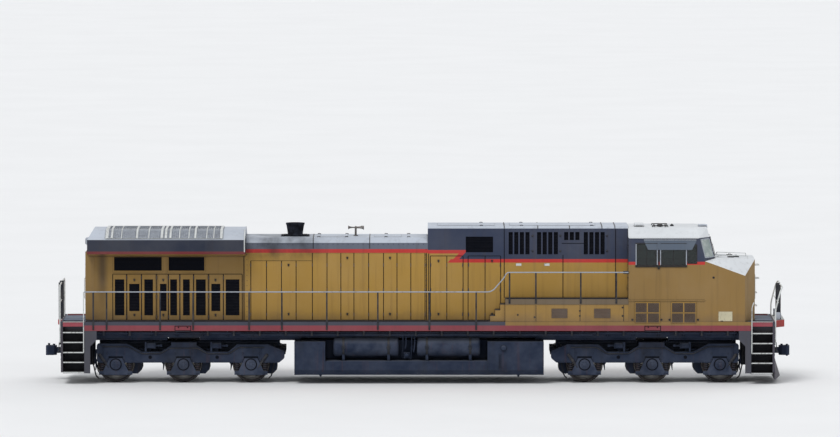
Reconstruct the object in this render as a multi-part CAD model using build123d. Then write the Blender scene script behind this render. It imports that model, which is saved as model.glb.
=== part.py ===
"""Six-axle diesel locomotive with a wide nose, as an assembly of separate pieces.

Millimetres. +X points to the nose, +Y to the left side, +Z up.
Heights below are above the rail head; place() lifts each piece by the flange depth,
so that the origin lies under the middle of the machine, level with the flanges' lowest points.
"""
from build123d import *
import math
import os

# Whole machine
FLANGE_DEPTH = 28.0
COUPLED_HALF = 11150.0
SILL_HALF = 1536.0
HOOD_HALF = 960.0
CAB_HALF = SILL_HALF - 6.0
END_PLATE_X = 10640.0
END_PLATE_THICK = 60.0
END_PLATE_HALF = SILL_HALF - 36.0
END_PLATE_BOTTOM = 330.0
LIP_BOTTOM = 1640.0
LIP_TOP = 1850.0
LIP_REACH = 320.0
LIP_ROOT_HALF = 1180.0
LIP_TIP_HALF = 760.0
REAR_LIP_BOTTOM = 1690.0
REAR_LIP_REACH = 120.0
REAR_LIP_ROOT_HALF = 700.0
REAR_LIP_TIP_HALF = 620.0
PLOUGH_BOTTOM = 110.0
PLOUGH_TOP = 640.0
PLOUGH_HALF = END_PLATE_HALF - 50.0
PLOUGH_REACH = 230.0

# Underframe
DECK_TOP = 1840.0
DECK_THICK = 40.0
SILL_BOTTOM = 1569.0
SILL_THICK = 20.0
DECK_END_X = 9940.0
WELL_HALF = 930.0
CENTRE_SILL_Y = 330.0
CENTRE_SILL_WIDTH = 140.0
CENTRE_SILL_BOTTOM = 1330.0
CROSS_BEARER_SIZE = 160.0
CROSS_BEARERS = (-8700.0, -5200.0, 5200.0, 8700.0)
BOLSTER_LENGTH = 900.0
BOLSTER_BOTTOM = 1250.0
BOLSTER_HALF = 480.0
PAD_POCKET = 200.0
GUSSET_THICK = 25.0
PIVOT_RADIUS = 150.0
JACK_PAD_LENGTH = 452.0
JACK_PAD_DEPTH = 160.0
JACK_PAD_BOTTOM = 1552.0
JACK_HOLE_RADIUS = 22.0
JACK_HOLE_SPACING = 271.0
JACK_HOLE_SHIFT = 5.0
JACK_HOLE_Z = 1676.0
TANK_HANGERS = (-2000.0, 2000.0)
TANK_HANGER_LENGTH = 600.0

# Couplers and their draft pockets
COUPLER_Z = 875.0
COUPLER_PIN_X = 10200.0
COUPLER_PIN_RADIUS = 40.0
SHANK_HALF = 75.0
SHANK_END = COUPLED_HALF - 290.0
SHANK_TAIL_RADIUS = 110.0
HEAD_HALF_HEIGHT = 140.0
POCKET_HALF_LENGTH = 150.0
POCKET_FLOOR = 690.0
POCKET_CEILING = 1020.0
POCKET_PLATE = 45.0
OPENING_HALF = 240.0

# Trucks and wheels; offsets along X are from the truck's centre, positive towards mid-machine
TRUCK_X = 7000.0
AXLE_SPACING = 2020.0
WHEEL_RADIUS = 533.0
FLANGE_FACE_Y = 712.0
WHEEL_BACK_Y = 680.0
WHEEL_FRONT_Y = 820.0
AXLE_RADIUS = 90.0
JOURNAL_CLEARANCE = 6.0
END_GAP = 0.3
FRAME_INNER_Y = 940.0
FRAME_OUTER_Y = 1100.0
FRAME_BOTTOM = 585.0
FRAME_BEND = 80.0
BOX_INNER_Y = 950.0
BOX_OUTER_Y = 1125.0
BOX_CAP_RADIUS = 144.0
BOX_CAP_THICK = 30.0
SPRING_RADIUS = 55.0
SPRING_OFFSET = 410.0
SPRING_SEAT = 330.0
BOLSTER_PAD_Z = 1100.0
WHEEL_TOP_CLEARANCE = 18.0
TRUCK_BOLSTER_TOP = 1190.0
TRUCK_BOLSTER_SPAN = (-364.0, 395.0)
BOWL_HEIGHT = 30.0
BOWL_CLEARANCE = 8.0
BOWL_WALL = 60.0
TRANSOM_BOTTOM = 820.0
TRANSOM_TOP = 985.0
TRANSOM_LENGTH = 330.0
MOTOR_NEAR = 125.0
MOTOR_FAR = 765.0
MOTOR_HALF = 590.0
MOTOR_BOTTOM = 215.0
MOTOR_CHAMFER = 120.0
BRAKE_OFFSETS = (-1100.0, 860.0)
BRAKE_Z = 1090.0
BRAKE_RADIUS = 95.0
BRAKE_LENGTH = 260.0
BRAKE_BRACKET = 50.0
TRUCK_SEAT_Z = 909.0

# Fuel tank and air reservoirs
TANK_REAR_X = -3680.0
TANK_FRONT_X = 3757.0
TANK_BOTTOM = 240.0
TANK_TOP = 1240.0
TANK_HALF = SILL_HALF - 56.0
TANK_CORNER = 130.0
SHELF_REAR_X = -2760.0
SHELF_FRONT_X = 2082.0
SHELF_TOP = 660.0
SHELF_INNER_Y = 800.0
RESERVOIR_RADIUS = 290.0
RESERVOIR_Z = 1066.0
RESERVOIR_SPANS = ((-2516.0, -570.0), (-28.0, 1865.0))
RESERVOIR_INSET = 20.0
RESERVOIR_SIDES = 20
DOME_SET = 90.0
SADDLE_INSET = 300.0
SADDLE_HALF = 40.0
SADDLE_SPREAD = 200.0

# Hoods and radiator
RADIATOR_REAR_X = -9933.0
RADIATOR_CHAMFER_X = 256.0
RADIATOR_CHAMFER_Y = 200.0
RADIATOR_FRONT_X = -5149.0
WING_REAR_X = -9850.0
WING_HALF = SILL_HALF - 46.0
WING_LOW = 3857.0
WING_HIGH = 4285.0
WING_ROOT = 3760.0
RADIATOR_TOP = 4535.0
RADIATOR_TOP_HALF = 700.0
HIP = 150.0
SCREEN_THICK = 12.0
SCREEN_MARGIN = 60.0
RIB_RISE = 18.0
ENGINE_HOOD_TOP = 4310.0
ENGINE_HOOD_EAVE = 4159.0
ENGINE_HOOD_BEVEL = 180.0
EQUIPMENT_REAR_X = 300.0
EQUIPMENT_EAVE = 4590.0
EQUIPMENT_TOP = EQUIPMENT_EAVE + 60.0
EQUIPMENT_BEVEL = 130.0
ENGINE_SPAN = (-4600.0, -600.0)
ENGINE_HALF = 600.0
ENGINE_TOP = 3700.0
STACK_X = -3671.0
# Height above the hood and radius of the stack's sections
STACK_STATIONS = ((30.0, 225.0), (340.0, 268.0), (345.0, 282.0), (390.0, 282.0))
HORN_X = -1860.0
HORN_Z = 4560.0
HORN_BAR = 70.0
HORN_SPREAD = 190.0
HORN_PITCH = 145.0
HORN_THROAT = 24.0
HORN_MOUTH = 65.0
HORN_LENGTH = 230.0

# Service doors stand proud of the hood walls; their gaps show as lines
PANEL_PROUD = 10.0
PANEL_GAP = 24.0
DOOR_BOTTOM = 1857.0
ENGINE_DOOR_EDGES = (-4984.0, -4516.0, -4070.0, -3632.0, -3147.0, -2709.0, -2296.0, -1906.0, -1466.0,
                     -1022.0, -620.0, -207.0, 216.0)
ENGINE_TALL_DOORS_FROM = -3147.0
ENGINE_DOOR_TOP = 3634.0
ENGINE_TALL_TOP = 3857.0
# Radiator doors: rear edge, front edge, grille rear, grille front, tall grille
RADIATOR_DOORS = (
    (-9096.0, -8712.0, -9045.0, -8763.0, True),
    (-8670.0, -8268.0, -8617.0, -8310.0, False),
    (-8233.0, -7843.0, -8165.0, -7906.0, True),
    (-7751.0, -7468.0, -7697.0, -7501.0, False),
    (-7427.0, -7126.0, -7394.0, -7189.0, True),
    (-7084.0, -6715.0, -7010.0, -6808.0, True),
    (-6674.0, -6278.0, -6623.0, -6332.0, True),
    (-6215.0, -5820.0, -6165.0, -5897.0, False),
    (-5790.0, -5254.0, -5736.0, -5325.0, True),
)
RADIATOR_DOOR_TOP = 3216.0
TALL_GRILLE_Z = (1991.0, 3070.0)
SHORT_GRILLE_Z = (2119.0, 2936.0)
INTAKE_SPANS = ((-9096.0, -7614.0), (-7468.0, -6340.0))
INTAKE_Z = (3330.0, 3738.0)
# Ribs over the roof screens: middle and width along X
ROOF_RIBS = ((-9263.0, 90.0), (-9114.0, 60.0), (-8370.0, 60.0), (-7626.0, 70.0), (-7507.0, 70.0),
             (-7373.0, 60.0), (-6629.0, 60.0), (-5855.0, 80.0))
# Slotted vents in the equipment hood: rear and front edge, low and high Z
VENT_SLOT = 123.0
VENT_PITCH = 167.0
VENT_DEPTH = 70.0
VENTS = ((2713.0, 3337.0, 3816.0, 4484.0), (3561.0, 4185.0, 3816.0, 4484.0),
         (4370.0, 4827.0, 4242.0, 4485.0), (4956.0, 5580.0, 3816.0, 4484.0))
SCREEN_SPAN = (1433.0, 2248.0)
SCREEN_Z = (3879.0, 4347.0)
EQUIPMENT_PANELS = ((388.0, 856.0), (880.0, 1341.0), (1516.0, 1998.0), (2022.0, 2463.0))

# Cab and nose
CAB_REAR_X = 6278.0
CAB_FLOOR = 2490.0
CAB_EAVE = 4345.0
CAB_ROOF_TOP = CAB_EAVE + 255.0
CAB_ROOF_HALF = CAB_HALF - 410.0
CAB_CROWN_HALF = CAB_ROOF_HALF - 320.0
CAB_WALL = 60.0
GLASS_INSET = 20.0
GLASS_THICK = 10.0
WINDOW_SILL_Z = 3653.0
CAB_FRONT_SILL_X = 8554.0
CAB_FRONT_EAVE_X = 8379.0
CORNER_SET = 327.0
CORNER_HALF = CAB_HALF - 530.0
SIDE_WINDOWS = ((6501.0, 7135.0), (7230.0, 8000.0))
SIDE_WINDOW_Z = (3528.0, 4178.0)
QUARTER_WINDOW = (8040.0, 8310.0)
QUARTER_WINDOW_Z = (3585.0, 4140.0)
WINDSHIELD_Y = (60.0, 930.0)
WINDSHIELD_Z = (3790.0, 4290.0)
LEDGE_Z = (2455.0, 2490.0)
LEDGE_PROUD = 14.0
BASE_GRILLES = ((6486.0, 7189.0), (7572.0, 8295.0))
BASE_GRILLE_Z = (1990.0, 2406.0)
BASE_GRILLE_BAR = 36.0
GRILLE_DEPTH = 25.0
GRILLE_THICK = 8.0
SHADE_TOP_Z = 4291.0
SHADE_LOW_Z = 3993.0
SHADE_SPAN = (6733.0, 8296.0)
SHADE_HALF = CAB_HALF + 30.0
SHADE_TAPER = 130.0
SHADE_THICK = 6.0
NOSE_CORNER_X = 9750.0
NOSE_FRONT_X = 10070.0
NOSE_FRONT_HALF = 850.0
NOSE_CORNER_Z = 3218.0
NOSE_FRONT_Z = 3665.0
NOSE_REAR_Z = 3720.0

# Doors: the cab door swings out along the hood, the nose door swings in
DOOR_Y = (-1460.0, -1000.0)
DOOR_Z = (2560.0, 4250.0)
DOOR_WINDOW_Z = (3560.0, 4120.0)
DOOR_WINDOW_MARGIN = 110.0
NOSE_DOOR_Y = (60.0, 660.0)
NOSE_DOOR_Z = (1900.0, 3520.0)
PASSAGE_Y = (20.0, 780.0)
PASSAGE_REAR_X = 9000.0
PASSAGE_MARGIN = 30.0
DOOR_GAP = 6.0
DOOR_THICK = 40.0
HINGE_RADIUS = 12.0
HINGE_LENGTH = 70.0
HINGE_SHARES = (0.15, 0.85)
HINGE_STAND = 4.0
CAB_HINGE = (CAB_REAR_X - HINGE_RADIUS - HINGE_STAND, DOOR_Y[1] + DOOR_GAP)
NOSE_HINGE = (NOSE_FRONT_X - CAB_WALL - HINGE_RADIUS - HINGE_STAND, NOSE_DOOR_Y[1] + DOOR_GAP)

# Raised walkway on the right side and tall cabinet on the left
BOX_REAR_X = 2609.0
BOX_HALF = SILL_HALF - 10.0
WALKWAY_LOW = 2360.0
WALKWAY_TOP = 2520.0
WALKWAY_STEPS = 3
STEP_RUN = 150.0
STEP_INSET = 60.0
CABINET_REAR_X = 3000.0
CABINET_TOP = EQUIPMENT_EAVE - 50.0
CABINET_DOORS = 5
CABINET_DOOR_TOP = 3550.0
CABINET_GRILLE_Z = (3820.0, 4400.0)
CABINET_GRILLE_INSET = 80.0

# Steps
STEP_HEIGHTS = {1: (1500.0, 1202.0, 904.0, 611.0, 304.0), -1: (1530.0, 1235.0, 933.0, 638.0, 337.0)}
TREAD_THICK = 35.0
WELL_PLATE = 20.0
WELL_BOTTOM = 300.0
SIDE_PLATE = ((9570.0, SILL_BOTTOM), (9570.0, 1300.0), (9760.0, 1110.0), (9760.0, WELL_BOTTOM))
SIDE_PLATE_Y = SILL_HALF - 4.0

# Handrails
RAIL_RADIUS = 18.0
POST_RADIUS = 15.0
POST_WIDTH = 46.0
POST_THICK = 12.0
POST_FOOT = 30.0
RAIL_Y = SILL_HALF + POST_THICK / 2
RAIL_END_BLOCK = (160.0, 50.0, 80.0)
RAIL_LOW_Z = 2735.0
RAIL_HIGH_Z = 3319.0
RAMP = ((2207.0, RAIL_LOW_Z), (2567.0, 3152.0), (2650.0, RAIL_HIGH_Z))
LOW_POSTS = (-9667.0, -9270.0, -7676.0, -6694.0, -5024.0, -4048.0, -2709.0, -1189.0, 347.0, 1740.0)
HIGH_POSTS = (2734.0, 3519.0, 4856.0, 5915.0)
GRAB_Y = RAIL_Y
GRAB_X = DECK_END_X + POST_RADIUS + 2.0
TREAD_EDGE_Y = SIDE_PLATE_Y - WELL_PLATE - 2.0

# Small round parts have flats: a few on bars, more on drums and caps
BAR_SIDES = 8
DRUM_SIDES = 16
WHEEL_SIDES = 36

END_RAIL_Y = END_PLATE_HALF - 60.0
CHAIN_POST_Y = 360.0
FLAT_POST = 90.0

PIECES = {}


def place(name, *shapes):
    """Keep the solids of a node, lifted from rail level to the model's own base."""
    solids = []
    for shape in shapes:
        solids += (Pos(0, 0, FLANGE_DEPTH) * shape).solids()
    PIECES[name] = Compound(children=solids)


def ordered(a, b):
    """A pair of values, lower first."""
    return (min(a, b), max(a, b))


def slab(x, y, z):
    """Box between two values on each axis."""
    x, y, z = ordered(*x), ordered(*y), ordered(*z)
    return Pos(sum(x) / 2, sum(y) / 2, sum(z) / 2) * Box(x[1] - x[0], y[1] - y[0], z[1] - z[0])


def side_prism(outline, y):
    """Outline of (x, z) points drawn across from one Y to another."""
    face = make_face(Polyline(*outline, close=True))
    return extrude(Plane.XZ.offset(-y[1]) * face, amount=y[1] - y[0])


def cross_prism(outline, x):
    """Outline of (y, z) points drawn along from one X to another."""
    face = make_face(Polyline(*outline, close=True))
    return extrude(Plane.YZ.offset(x[0]) * face, amount=x[1] - x[0])


def plan_prism(outline, z):
    """Outline of (x, y) points drawn up from one Z to another."""
    face = make_face(Polyline(*outline, close=True))
    return extrude(Plane.XY.offset(z[0]) * face, amount=z[1] - z[0])


def rod(start, end, radius):
    """Round bar between two points."""
    start, end = Vector(*start), Vector(*end)
    along = end - start
    bar = Cylinder(radius, along.length, align=(Align.CENTER, Align.CENTER, Align.MIN))
    return Plane(origin=start, z_dir=along) * bar


def bar(start, end, radius, sides=BAR_SIDES):
    """Slim bar between two points, drawn with a few flats to stay light."""
    start, end = Vector(*start), Vector(*end)
    section = Plane(origin=start, z_dir=end - start) * RegularPolygon(radius, sides)
    return extrude(section, amount=(end - start).length)


def drum(origin, axis, stations, sides=DRUM_SIDES):
    """Round body with flats; each station is a distance along the axis and the radius there."""
    turns = [2 * math.pi * index / sides for index in range(sides)]
    rings = []
    for distance, radius in stations:
        plane = Plane(origin=Vector(*origin) + Vector(*axis) * distance, z_dir=axis)
        rings.append([plane.from_local_coords(Vector(radius * math.cos(turn), radius * math.sin(turn), 0))
                      for turn in turns])
    outlines = [rings[0], rings[-1]]
    for low, high in zip(rings, rings[1:]):
        for index in range(sides):
            after = (index + 1) % sides
            outlines.append([low[index], low[after], high[after], high[index]])
    return Solid(Shell([Face(Wire.make_polygon(outline, close=True)) for outline in outlines]))


def pipe(points, radius):
    """Tube along straight runs with mitred corners, drawn with a few flats to stay light."""
    path = Polyline(*[Vector(*point) for point in points])
    section = Plane(origin=path @ 0, z_dir=path % 0) * RegularPolygon(radius, BAR_SIDES)
    return sweep(section, path=path, transition=Transition.RIGHT)


def mirrored(shape):
    """The same shape on the other side of the machine."""
    return mirror(shape, about=Plane.XZ)


def both(shape):
    """A shape and its mirror image across the machine."""
    return [shape, mirrored(shape)]


def fused(shapes):
    """One shape out of several that touch or overlap."""
    shapes = list(shapes)
    return shapes[0].fuse(*shapes[1:]) if len(shapes) > 1 else shapes[0]


def symmetric(outline):
    """Close a half cross-section of (y, z) points over to the other side."""
    return list(outline) + [(-y, z) for y, z in reversed(outline)]


def wheelset(x):
    """Two flanged wheels on their axle, as one body."""
    wheel = drum((0, 0, 0), (0, 1, 0), ((WHEEL_BACK_Y, WHEEL_RADIUS + FLANGE_DEPTH), (FLANGE_FACE_Y, WHEEL_RADIUS),
                                        (WHEEL_FRONT_Y, WHEEL_RADIUS)), WHEEL_SIDES)
    axle_end = FRAME_OUTER_Y - END_GAP
    axle = bar((0, -axle_end, 0), (0, axle_end, 0), AXLE_RADIUS, DRUM_SIDES)
    return Pos(x, 0, WHEEL_RADIUS) * fused([axle, wheel, mirrored(wheel)])


def truck(name, centre, inward):
    """One six-wheel truck; inward is the X direction from its centre to mid-machine."""
    def at(offset):
        return centre + inward * offset

    def span(low, high):
        return ordered(at(low), at(high))

    # Top line of the side frame: humps over the axles and dips between them
    outline = [
        (-2586.0, 1157.0), (-1692.0, 1157.0), (-1240.0, TRUCK_SEAT_Z), (-664.0, TRUCK_SEAT_Z),
        (TRUCK_BOLSTER_SPAN[0], BOLSTER_PAD_Z), (TRUCK_BOLSTER_SPAN[1], BOLSTER_PAD_Z), (700.0, TRUCK_SEAT_Z),
        (1345.0, TRUCK_SEAT_Z), (1610.0, 1136.0), (2520.0, 1136.0), (3020.0, 930.0), (3020.0, 720.0),
        (2860.0, FRAME_BOTTOM), (-2586.0, FRAME_BOTTOM),
    ]
    casting = make_face(Polyline(*[(at(x), z) for x, z in outline], close=True))
    casting = fillet(casting.vertices(), FRAME_BEND)
    side = extrude(Plane.XZ.offset(-FRAME_OUTER_Y) * casting, amount=FRAME_OUTER_Y - FRAME_INNER_Y)
    # Axle box outline, wider at the foot that carries the springs
    foot = [(-190.0, 719.0), (190.0, 719.0), (345.0, 400.0), (380.0, SPRING_SEAT), (494.0, SPRING_SEAT),
            (494.0, 223.0), (-494.0, 223.0), (-494.0, SPRING_SEAT), (-380.0, SPRING_SEAT), (-345.0, 400.0)]
    boxes = []
    for axle in (-AXLE_SPACING, 0.0, AXLE_SPACING):
        here = [(at(axle + x), z) for x, z in foot]
        side -= side_prism(here, (FRAME_INNER_Y - 10.0, BOX_OUTER_Y))
        side -= slab(span(axle - 216.0, axle + 216.0), (FRAME_OUTER_Y - 40.0, FRAME_OUTER_Y + 1.0), (719.0, 775.0))
        box = side_prism(here, (BOX_INNER_Y, BOX_OUTER_Y))
        box -= bar((at(axle), FRAME_INNER_Y, WHEEL_RADIUS), (at(axle), FRAME_OUTER_Y, WHEEL_RADIUS),
                   (AXLE_RADIUS + JOURNAL_CLEARANCE) / math.cos(math.pi / BAR_SIDES))
        box += bar((at(axle), BOX_OUTER_Y, WHEEL_RADIUS), (at(axle), BOX_OUTER_Y + BOX_CAP_THICK, WHEEL_RADIUS),
                   BOX_CAP_RADIUS, DRUM_SIDES)
        boxes += both(box)
        for foot_x in (-SPRING_OFFSET, SPRING_OFFSET):
            middle_y = (FRAME_INNER_Y + FRAME_OUTER_Y) / 2
            spring = bar((at(axle + foot_x), middle_y, SPRING_SEAT), (at(axle + foot_x), middle_y, FRAME_BOTTOM),
                         SPRING_RADIUS)
            boxes += both(spring)
    for hole_x in (-991.0, 1009.0):
        side -= bar((at(hole_x), FRAME_OUTER_Y - 60.0, 748.0), (at(hole_x), FRAME_OUTER_Y + 1.0, 748.0), 57.0)
    frame = side + mirrored(side)
    transom_middle = MOTOR_FAR + TRANSOM_LENGTH / 2 - 70.0
    for axle in (-AXLE_SPACING, 0.0, AXLE_SPACING):
        middle = axle + transom_middle
        frame += slab(span(middle - TRANSOM_LENGTH / 2, middle + TRANSOM_LENGTH / 2),
                      (-FRAME_INNER_Y, FRAME_INNER_Y), (TRANSOM_BOTTOM, TRANSOM_TOP))
    over_wheel = WHEEL_RADIUS * 2 + FLANGE_DEPTH + WHEEL_TOP_CLEARANCE
    frame += slab(span(*TRUCK_BOLSTER_SPAN), (-FRAME_OUTER_Y, FRAME_OUTER_Y), (over_wheel, TRUCK_BOLSTER_TOP))
    for edge in (-1, 1):
        frame += slab(span(*TRUCK_BOLSTER_SPAN), (edge * FRAME_INNER_Y, edge * FRAME_OUTER_Y),
                      (BOLSTER_PAD_Z - 5.0, over_wheel + 5.0))
    pad = PIVOT_RADIUS + BOWL_CLEARANCE + BOWL_WALL
    bowl = Box(2 * pad, 2 * pad, BOWL_HEIGHT) - Cylinder(PIVOT_RADIUS + BOWL_CLEARANCE, BOWL_HEIGHT)
    frame += Pos(centre, 0, TRUCK_BOLSTER_TOP + BOWL_HEIGHT / 2) * bowl
    place(name + "_frame", frame)
    place(name + "_boxes", *boxes)

    motors = []
    for axle in (-AXLE_SPACING, 0.0, AXLE_SPACING):
        low, high = axle + MOTOR_NEAR, axle + MOTOR_FAR
        body = [(at(low), MOTOR_BOTTOM + MOTOR_CHAMFER), (at(low), TRANSOM_BOTTOM), (at(high), TRANSOM_BOTTOM),
                (at(high), MOTOR_BOTTOM + MOTOR_CHAMFER), (at(high - MOTOR_CHAMFER), MOTOR_BOTTOM),
                (at(low + MOTOR_CHAMFER), MOTOR_BOTTOM)]
        motors.append(side_prism(body, (-MOTOR_HALF, MOTOR_HALF)))
    place(name + "_motors", *motors)

    brakes = []
    middle_y = (FRAME_INNER_Y + FRAME_OUTER_Y) / 2
    for offset in BRAKE_OFFSETS:
        bracket = slab(span(offset - BRAKE_BRACKET, offset), (FRAME_INNER_Y + 5.0, FRAME_OUTER_Y - 5.0),
                       (TRUCK_SEAT_Z, BRAKE_Z + BRAKE_RADIUS + 15.0))
        cylinder = bar((at(offset), middle_y, BRAKE_Z), (at(offset + BRAKE_LENGTH), middle_y, BRAKE_Z),
                       BRAKE_RADIUS, DRUM_SIDES)
        brakes += both(bracket + cylinder)
    place(name + "_brakes", *brakes)


def underframe():
    """Deck, side sills, centre sills, cross-bearers, bolsters with pivots and draft pockets."""
    inner_end = END_PLATE_X - END_PLATE_THICK
    parts = [
        slab((-DECK_END_X, DECK_END_X), (-SILL_HALF, SILL_HALF), (DECK_TOP - DECK_THICK, DECK_TOP)),
        slab((-inner_end, inner_end), (-WELL_HALF, WELL_HALF), (DECK_TOP - DECK_THICK, DECK_TOP)),
    ]
    for edge in (-1, 1):
        parts.append(slab((-DECK_END_X, DECK_END_X), (edge * (SILL_HALF - SILL_THICK), edge * SILL_HALF),
                          (SILL_BOTTOM, DECK_TOP)))
        parts.append(slab((-inner_end, inner_end), (edge * CENTRE_SILL_Y, edge * (CENTRE_SILL_Y + CENTRE_SILL_WIDTH)),
                          (CENTRE_SILL_BOTTOM, DECK_TOP)))
    for x in CROSS_BEARERS:
        parts.append(slab((x - CROSS_BEARER_SIZE / 2, x + CROSS_BEARER_SIZE / 2), (-SILL_HALF, SILL_HALF),
                          (SILL_BOTTOM, DECK_TOP)))
    holes = []
    for x in (-TRUCK_X, TRUCK_X):
        bolster_x = (x - BOLSTER_LENGTH / 2, x + BOLSTER_LENGTH / 2)
        pocket_y = SILL_HALF - PAD_POCKET
        parts.append(slab(bolster_x, (-pocket_y, pocket_y), (SILL_BOTTOM, DECK_TOP)))
        parts.append(slab(bolster_x, (-BOLSTER_HALF, BOLSTER_HALF), (BOLSTER_BOTTOM, DECK_TOP)))
        parts.append(rod((x, 0, TRUCK_BOLSTER_TOP + END_GAP), (x, 0, BOLSTER_BOTTOM + 10.0), PIVOT_RADIUS))
        for edge in (-1, 1):
            parts.append(slab((x - JACK_PAD_LENGTH / 2, x + JACK_PAD_LENGTH / 2),
                              (edge * (SILL_HALF - JACK_PAD_DEPTH), edge * SILL_HALF),
                              (JACK_PAD_BOTTOM, SILL_BOTTOM + 10.0)))
            for gusset in (-JACK_PAD_LENGTH / 2, JACK_PAD_LENGTH / 2 - GUSSET_THICK):
                parts.append(slab((x + gusset, x + gusset + GUSSET_THICK),
                                  (edge * (pocket_y - 10.0), edge * SILL_HALF), (SILL_BOTTOM, DECK_TOP)))
            for shift in (-JACK_HOLE_SPACING / 2, JACK_HOLE_SPACING / 2):
                # The same pad is used on both sides, turned round, so its holes are handed
                hole_x = x + shift - edge * JACK_HOLE_SHIFT
                holes.append(rod((hole_x, edge * (SILL_HALF - SILL_THICK - 10.0), JACK_HOLE_Z),
                                 (hole_x, edge * (SILL_HALF + 10.0), JACK_HOLE_Z), JACK_HOLE_RADIUS))
    for x in TANK_HANGERS:
        parts.append(slab((x - TANK_HANGER_LENGTH / 2, x + TANK_HANGER_LENGTH / 2), (-BOLSTER_HALF, BOLSTER_HALF),
                          (TANK_TOP, CENTRE_SILL_BOTTOM + 10.0)))
    for end in (-1, 1):
        pocket_x = (end * (COUPLER_PIN_X - POCKET_HALF_LENGTH), end * (COUPLER_PIN_X + POCKET_HALF_LENGTH))
        parts.append(slab(pocket_x, (-CENTRE_SILL_Y, CENTRE_SILL_Y), (POCKET_CEILING, CENTRE_SILL_BOTTOM + 200.0)))
        parts.append(slab(pocket_x, (-CENTRE_SILL_Y, CENTRE_SILL_Y), (POCKET_FLOOR, POCKET_FLOOR + POCKET_PLATE)))
        for edge in (-1, 1):
            parts.append(slab(pocket_x, (edge * (CENTRE_SILL_Y - POCKET_PLATE), edge * CENTRE_SILL_Y),
                              (POCKET_FLOOR, POCKET_CEILING + 10.0)))
        parts.append(rod((end * COUPLER_PIN_X, 0, POCKET_FLOOR + 10.0),
                         (end * COUPLER_PIN_X, 0, POCKET_CEILING + 10.0), COUPLER_PIN_RADIUS))
    frame = fused(parts)
    for hole in holes:
        frame -= hole
    place("underframe", frame)


def coupler(name, end):
    """Drawbar with its knuckle head, swinging about the pin in the draft pocket."""
    low, high = COUPLER_Z - SHANK_HALF, COUPLER_Z + SHANK_HALF
    shank = slab((end * COUPLER_PIN_X, end * SHANK_END), (-SHANK_HALF, SHANK_HALF), (low, high))
    shank += bar((end * COUPLER_PIN_X, 0, low), (end * COUPLER_PIN_X, 0, high), SHANK_TAIL_RADIUS)
    # Plan of the head, back from the coupling face: guard arm, throat and knuckle
    head = [(320.0, -100.0), (320.0, 100.0), (250.0, 175.0), (70.0, 215.0), (0.0, 175.0), (60.0, 130.0),
            (140.0, 95.0), (140.0, -20.0), (50.0, 10.0), (0.0, -45.0), (10.0, -120.0), (90.0, -190.0),
            (230.0, -170.0)]
    shank += plan_prism([(end * (COUPLED_HALF - back), end * y) for back, y in head],
                        (COUPLER_Z - HEAD_HALF_HEIGHT, COUPLER_Z + HEAD_HALF_HEIGHT))
    shank -= rod((end * COUPLER_PIN_X, 0, low - 10.0), (end * COUPLER_PIN_X, 0, high + 10.0),
                 COUPLER_PIN_RADIUS + END_GAP)
    place(name, shank)


def end_plate(name, end):
    """Pilot plate across the end, with the coupler's opening and, at the front, a plough and a lip."""
    plate_x = (end * (END_PLATE_X - END_PLATE_THICK), end * END_PLATE_X)
    plate = slab(plate_x, (-END_PLATE_HALF, END_PLATE_HALF), (END_PLATE_BOTTOM, DECK_TOP))
    plate -= slab(plate_x, (-OPENING_HALF, OPENING_HALF), (POCKET_FLOOR, 1080.0))
    root_x = END_PLATE_X - 10.0
    if end > 0:
        blade = []
        for edge in (-1, 1):
            blade += [(root_x, edge * PLOUGH_HALF, PLOUGH_TOP), (root_x, edge * PLOUGH_HALF, PLOUGH_BOTTOM),
                      (END_PLATE_X + 40.0, edge * PLOUGH_HALF, PLOUGH_BOTTOM)]
        blade += [(END_PLATE_X + 70.0, 0.0, PLOUGH_TOP), (END_PLATE_X + PLOUGH_REACH, 0.0, PLOUGH_BOTTOM)]
        plate += ConvexPolyhedron(blade)
        tip_x = END_PLATE_X + LIP_REACH
        lip = [(root_x, -LIP_ROOT_HALF), (tip_x, -LIP_TIP_HALF), (tip_x, LIP_TIP_HALF), (root_x, LIP_ROOT_HALF)]
        plate += plan_prism(lip, (LIP_BOTTOM, LIP_TOP))
    else:
        tip_x = END_PLATE_X + REAR_LIP_REACH
        lip = [(-root_x, -REAR_LIP_ROOT_HALF), (-root_x, REAR_LIP_ROOT_HALF), (-tip_x, REAR_LIP_TIP_HALF),
               (-tip_x, -REAR_LIP_TIP_HALF)]
        plate += plan_prism(lip, (REAR_LIP_BOTTOM, DECK_TOP))
    place(name, plate)


def corner_steps():
    """Stepwells at the four corners: a side plate, a back plate, an inner plate and five treads each."""
    wells = []
    outer_x = END_PLATE_X - END_PLATE_THICK
    for end, heights in STEP_HEIGHTS.items():
        plate = list(SIDE_PLATE) + [(DECK_END_X, WELL_BOTTOM), (DECK_END_X, SILL_BOTTOM)]
        parts = [
            side_prism([(end * x, z) for x, z in plate], (SIDE_PLATE_Y - WELL_PLATE, SIDE_PLATE_Y)),
            slab((end * (DECK_END_X - WELL_PLATE), end * DECK_END_X), (WELL_HALF, SIDE_PLATE_Y),
                 (WELL_BOTTOM, SILL_BOTTOM)),
            slab((end * DECK_END_X, end * outer_x), (WELL_HALF, WELL_HALF + WELL_PLATE), (WELL_BOTTOM, DECK_TOP)),
        ]
        for height in heights:
            parts.append(slab((end * (DECK_END_X - 10.0), end * outer_x), (WELL_HALF, TREAD_EDGE_Y),
                              (height - TREAD_THICK, height)))
        wells += both(fused(parts))
    place("corner_steps", *wells)


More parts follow.
